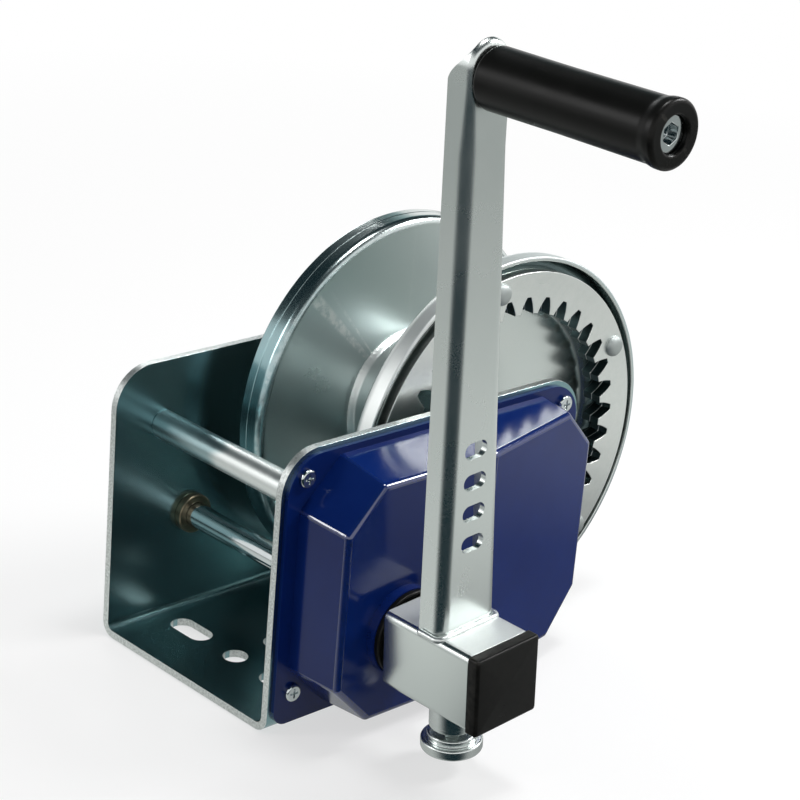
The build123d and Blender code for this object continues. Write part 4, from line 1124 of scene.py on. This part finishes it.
def stay_dark_reflection(points):
    """Share of a painted dark reflection on the stay: full near the far plate, with a wavy end near the middle."""
    turn = np.arctan2(points[:, 2] - stay_spot[2], points[:, 0] - stay_spot[0])
    end = STAY_REFLECTION_END + sum(size * np.sin(around * turn + start) for around, start, size in STAY_REFLECTION_WAVES)
    # Painted reflection of the dark frame, in the blue-green deep tone.
    return STAY_REFLECTION * ramp(points[:, 1] - end, STAY_REFLECTION_FADE)


def stay_satin(points):
    """Satin where the stay has no painted reflection, and half of it under the painted reflection."""
    return 1 - STAY_REFLECTION_SHINE * stay_dark_reflection(points) / STAY_REFLECTION


grid_piece("stay_tube_cut", "stay_tube", [turned(stay_line, stay_spot, TUBE_TURN)], satin=stay_satin,
           deep=stay_dark_reflection)

# %% Drive shaft
GROOVE_DEPTH, GROOVE_WIDTH, CHAMFER, SHAFT_TURN = 0.8, 1.2, 0.8, 72
low, high = span_y("drive_shaft")
clip_high = span_y("shaft_clip")[1]
shaft_r = reach("drive_shaft")
line = rounded(
    [(0, low), (shaft_r - CHAMFER, low), (shaft_r, low + CHAMFER),
     (shaft_r, clip_high - GROOVE_WIDTH), (shaft_r - GROOVE_DEPTH, clip_high - GROOVE_WIDTH),
     (shaft_r - GROOVE_DEPTH, clip_high), (shaft_r, clip_high), (shaft_r, high - CHAMFER),
     (shaft_r - CHAMFER, high), (0, high)],
    [0.2, 0.2, 0.1, 0.05, 0.05, 0.1, 0.2, 0.2], closed=False)
grid_piece("drive_shaft_turned", "drive_shaft", [turned(line, middle("drive_shaft"), SHAFT_TURN)], closed=False)

# %% Bronze bush at the far plate
BUSH_BORE_R, BUSH_BODY_R, BUSH_COLLAR = 6.55, 9.0, 4.4
low, high = span_y("shaft_bush_far")
collar_r = reach("shaft_bush_far")
line = rounded(
    [(BUSH_BORE_R, low), (collar_r, low), (collar_r, low + BUSH_COLLAR),
     (BUSH_BODY_R, low + BUSH_COLLAR), (BUSH_BODY_R, high), (BUSH_BORE_R, high)],
    [0.6, 0.9, 0.5, 0.1, 0.3, 0.3])
grid_piece("bronze_bush", "shaft_bush_far", [turned(line, middle("shaft_bush_far"), TUBE_TURN)])

# %% [markdown]
# ## Seal, grip and release knob
# The black seal is a flat ring with a rounded lip. The grip is a plain moulded cylinder, slightly waisted,
# that ends in a low collar with a recess for the bolt's head. The release knob and its sleeve are turned
# pieces on an axis along the crank, which leans a little, so their lines are turned about that axis.

# %% Seal
SEAL_BORE_R, MOULD_TURN = 15.3, 128
SEAL_GROOVE = ((4.0, 0.0), (3.4, 0.5), (2.6, 0.5), (2.0, 0.0))
low, high = span_y("seal_collar")
seal_r = reach("seal_collar")
line = rounded(
    [(SEAL_BORE_R, low), *((seal_r - inwards, low + sunk) for inwards, sunk in SEAL_GROOVE),
     (seal_r, low), (seal_r, high), (SEAL_BORE_R, high)],
    [0.6, 0.3, 0.3, 0.3, 0.3, 1.0, 0.3, 0.3])
grid_piece("seal_ring", "seal_collar", [turned(line, middle("seal_collar"), MOULD_TURN)])

# %% Grip
GRIP_R, GRIP_COLLAR, GRIP_SWELL, GRIP_BORE_R = 14.0, 4.5, 3.5, 5.05
GRIP_WAIST, GRIP_WAIST_AT, RECESS_R, RECESS_DEPTH = 0.25, 40.0, 8.05, 10.8
low, high = span_y("grip")
grip_end_r = reach("grip")
line = rounded(
    [(GRIP_BORE_R, high), (GRIP_R, high), (GRIP_R - GRIP_WAIST, high - GRIP_WAIST_AT),
     (GRIP_R, low + GRIP_COLLAR + GRIP_SWELL), (grip_end_r, low + GRIP_COLLAR), (grip_end_r, low),
     (RECESS_R, low), (RECESS_R, low + RECESS_DEPTH), (GRIP_BORE_R, low + RECESS_DEPTH)],
    [0.3, 2.0, 120.0, 8.0, 8.0, 2.5, 1.2, 0.2, 0.2])
grid_piece("grip_moulding", "grip", [turned(line, middle("grip"), MOULD_TURN)])

# %% Release sleeve
plunger_joint = next(joint for joint in frame["joints"] if joint["name"] == "plunger_pull")
down = np.array(plunger_joint["axis"], float)
crank_side = np.array([-down[2], 0.0, down[0]])
SLEEVE_R, SLEEVE_WALL, SLEEVE_LENGTH, SLEEVE_FLOOR, PIN_HOLE_R = 11.2, 2.5, 16.3, 2.0, 4.3
HUB_HALF, TUMBLED_SATIN = 20.0, 0.5
shaft_spot = np.array(middle("drive_shaft"))
plunger_spot = shaft_spot + np.array([0, sum(span_y("plunger_knob")) / 2, 0])
sleeve_line = rounded(
    [(SLEEVE_R, HUB_HALF), (SLEEVE_R, HUB_HALF + SLEEVE_LENGTH), (PIN_HOLE_R, HUB_HALF + SLEEVE_LENGTH),
     (PIN_HOLE_R, HUB_HALF + SLEEVE_LENGTH - SLEEVE_FLOOR),
     (SLEEVE_R - SLEEVE_WALL, HUB_HALF + SLEEVE_LENGTH - SLEEVE_FLOOR), (SLEEVE_R - SLEEVE_WALL, HUB_HALF)],
    [0.2, 1.0, 0.4, 0.2, 0.4, 0.2])
grid_piece("release_sleeve", "plunger_sleeve",
           [turned(sleeve_line, plunger_spot, TUBE_TURN, axis=down, side=crank_side)], satin=TUMBLED_SATIN)

# %% Release knob
KNOB_R, KNOB_FLANGE, KNOB_COLLAR_R, KNOB_COLLAR, KNOB_GAP = 15.0, 5.8, 12.0, 3.3, 2.7
PIN_R, PIN_GRASP = 4.0, 6.5
knob_top = HUB_HALF + SLEEVE_LENGTH + KNOB_GAP
knob_line = rounded(
    [(PIN_R, knob_top), (KNOB_COLLAR_R, knob_top), (KNOB_COLLAR_R, knob_top + KNOB_COLLAR),
     (KNOB_R, knob_top + KNOB_COLLAR), (KNOB_R, knob_top + KNOB_COLLAR + KNOB_FLANGE),
     (0, knob_top + KNOB_COLLAR + KNOB_FLANGE), (0, knob_top + PIN_GRASP), (PIN_R, knob_top + PIN_GRASP)],
    [0.3, 0.9, 0.6, 1.5, 1.5, 0.0, 0.0, 0.2])
grid_piece("release_knob", "plunger_knob",
           [turned(knob_line, plunger_spot, TUBE_TURN, axis=down, side=crank_side)], satin=TUMBLED_SATIN)

# %% [markdown]
# ## Weld at the arm's foot
# The arm stands on the hub and is welded along its front and both sides. A bead is a tube swept along that
# path. Its radius swells and shrinks with the welder's steps, and it drops where the hub's corners fall away.
# A curve with a plain bevel would be as even as wire, so numpy works out a circle for every step of the path.

# %% Path of the weld
ARM_FOOT_HALF, ARM_BEND = 18.35, 3.5
BEAD_OUT, BEAD_STEPS = 0.85, 260
arm_front_y, arm_back_y = span_y("crank_arm")
side_v, front_y = ARM_FOOT_HALF + BEAD_OUT, arm_front_y - BEAD_OUT
foot = rounded([(-side_v, arm_back_y), (-side_v, front_y), (side_v, front_y), (side_v, arm_back_y)],
               [ARM_BEND + BEAD_OUT] * 2, closed=False, steps=12)
way = way_along(foot)
along = np.linspace(0, way[-1], BEAD_STEPS)
path = np.stack([np.interp(along, way, foot[:, 0]), np.interp(along, way, foot[:, 1])], axis=1)
aim = np.gradient(path, axis=0)
aim /= np.linalg.norm(aim, axis=1, keepdims=True)
sideways = np.stack([aim[:, 1], -aim[:, 0]], axis=1)
print("weld path:", round(way[-1], 1), "mm long")

# %% Weld bead
BEAD_R, BEAD_SIDES, BEAD_SATIN = 1.7, 20, 1.0
BEAD_LEAST, BEAD_SCALE, BEAD_STEP, BEAD_DRIFT, BEAD_TURN = 0.96, 0.05, 3.2, 0.06, 0.5
HUB_FLAT, HUB_ROUND, HUB_DROP = 15.0, 4.0, 0.9
ALONG_Y = np.array([0.0, 1.0, 0.0])


def on_crank(across, rise, depth):
    """Points from the crank's own measures: across it, up along it and in depth along Y, from the shaft's axis."""
    return shaft_spot + across * crank_side - rise * down + depth * ALONG_Y


ends = np.sqrt(ramp(np.minimum(along, way[-1] - along), BEAD_R))
swell = BEAD_R * ends * (BEAD_LEAST + BEAD_SCALE * np.abs(np.sin(np.pi * along / BEAD_STEP))
                         + BEAD_DRIFT * np.sin(BEAD_TURN * along))
round_angle = np.linspace(0, 2 * np.pi, BEAD_SIDES, endpoint=False)[:, None]
flat = path[None] + (np.cos(round_angle) * swell)[:, :, None] * sideways[None]
height = HUB_HALF - HUB_DROP * ramp(np.abs(path[:, 0]) - HUB_FLAT, HUB_ROUND) + np.sin(round_angle) * swell
bead = on_crank(flat[:, :, :1], height[:, :, None], flat[:, :, 1:])
grid_piece("arm_weld_bead", "crank_arm", [(bead, np.zeros_like(bead))], closed=False, stands_in=False,
           satin=BEAD_SATIN)

# %% [markdown]
# ## Crank arm
# The arm is pressed from sheet over a generous die, so its two long bends are rounder than the solid's. The
# dressed copy is cut across at a few heights, and every point on a bend is pushed away from the corner: a point
# at the distances a and b from the side and the front goes to k a and k b, which turns an arc into one k times
# as large. Near the tip, where the sides end, k falls back to 1.

# %% Crank arm with round bends
WIDE_BEND, ARM_TIP_HALF, ARM_TIP_V = 5.8, 12.25, 286.7
BEND_CUTS, CUT_PLAY = (250.0, 262.0, 272.0, 280.0), 0.5
BEND_PLAY, ON_PLANE = 0.15, 1e-7


def round_arm_bends(shape):
    """Push the points of the two long bends away from their corners."""
    for cut_v in BEND_CUTS:
        bmesh.ops.bisect_plane(shape, geom=[*shape.verts, *shape.edges, *shape.faces], dist=ON_PLANE,
                               plane_co=(shaft_spot - down * cut_v) * MM, plane_no=-down)
    moved = 0
    for point in shape.verts:
        place = np.array(point.co) / MM - shaft_spot
        across, rise = place @ crank_side, -place @ down
        half = np.interp(rise, [HUB_HALF, ARM_TIP_V], [ARM_FOOT_HALF, ARM_TIP_HALF])
        a, b = half - abs(across), place[1] - arm_front_y
        off_arc = abs(math.hypot(ARM_BEND - a, ARM_BEND - b) - ARM_BEND)
        on_bend = off_arc < BEND_PLAY and max(a, b) < ARM_BEND + BEND_PLAY
        if on_bend and rise < BEND_CUTS[-1] - CUT_PLAY:
            k = np.interp(rise, [BEND_CUTS[0], BEND_CUTS[-1]], [WIDE_BEND, ARM_BEND]) / ARM_BEND
            shift_in = math.copysign((k - 1) * a, -across)
            point.co += Vector((crank_side * shift_in + (k - 1) * b * ALONG_Y) * MM)
            moved += 1
    print("arm: points moved on the bends", moved)


dress("crank_arm", reshape=round_arm_bends)
made.add("crank_arm")

# %% [markdown]
# ## Hub cap
# The cap is a square plastic plug: a thick head with crisp corners that covers the tube's end, and a hollow
# skirt that grips inside it. Its outline is one rounded square. Each loop of the grid is that outline at a
# scale and a depth, from the middle of the skirt's floor, around the skirt and the head, to the middle of the
# face. That leaves no seam, and the rounded front edge is part of the same grid.

# %% Hub cap
CAP_HEAD, CAP_CORNER, CAP_EDGE, SKIRT_OUT, SKIRT_IN = 6.5, 1.3, 1.6, 16.8, 14.8
CAP_STEPS = 6
cap_front, skirt_end = span_y("hub_cap")
cap_back = cap_front + CAP_HEAD
turn = np.linspace(0, np.pi / 2, CAP_STEPS)
head = np.stack([HUB_HALF - CAP_EDGE * (1 - np.cos(turn)), cap_front + CAP_EDGE * (1 - np.sin(turn))], axis=1)
cap_line = np.concatenate([[(0, cap_back), (SKIRT_IN, cap_back), (SKIRT_IN, skirt_end), (SKIRT_OUT, skirt_end),
                            (SKIRT_OUT, cap_back), (HUB_HALF, cap_back)], head, [(0, cap_front)]])
square = rounded([(-1, -1), (1, -1), (1, 1), (-1, 1)], [CAP_CORNER / HUB_HALF] * 4)
cap_flat = square[:, None, :] * cap_line[None, :, :1]
cap = on_crank(cap_flat[:, :, :1], cap_flat[:, :, 1:], cap_line[None, :, 1:])
grid_piece("hub_cap_moulding", "hub_cap", [(cap, np.zeros_like(cap))], closed=False)

# %% [markdown]
# ## The rest of the solids
# The bent frame, the blue cover, the crank's hub, the gears inside, and all screws, nuts, clips and springs are
# left. Their solids already have the right shape, so each gets its dressed copy, and only the finish and the
# rounded edges are new. Modelling them again would add work and no likeness. The roundings are kept and marked
# for all copies in one go, after the last of them is made.

# %% The rest of the solids
for node in body_of:
    if node not in made:
        dress(node)
keep_flats(dressed)
mark_rounds(dressed)

# %% [markdown]
# ## Release spring
# The spring in the release sleeve stands on the sleeve's floor, and the pin's collar presses it when the knob
# is pulled. Its coils close evenly, so the whole spring shortens towards its foot by the knob's travel. A stiff
# spring would have the collar run into its coils. Here the spring's copy only gets a mesh of its own, and its points
# are read.

# %% Spring with a mesh of its own
spring = bpy.data.objects["plunger_spring_skin"]
spring_points = np.empty(3 * len(spring.data.vertices))
spring.data.vertices.foreach_get("co", spring_points)
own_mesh(spring)

# %% Finish
low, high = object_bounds()
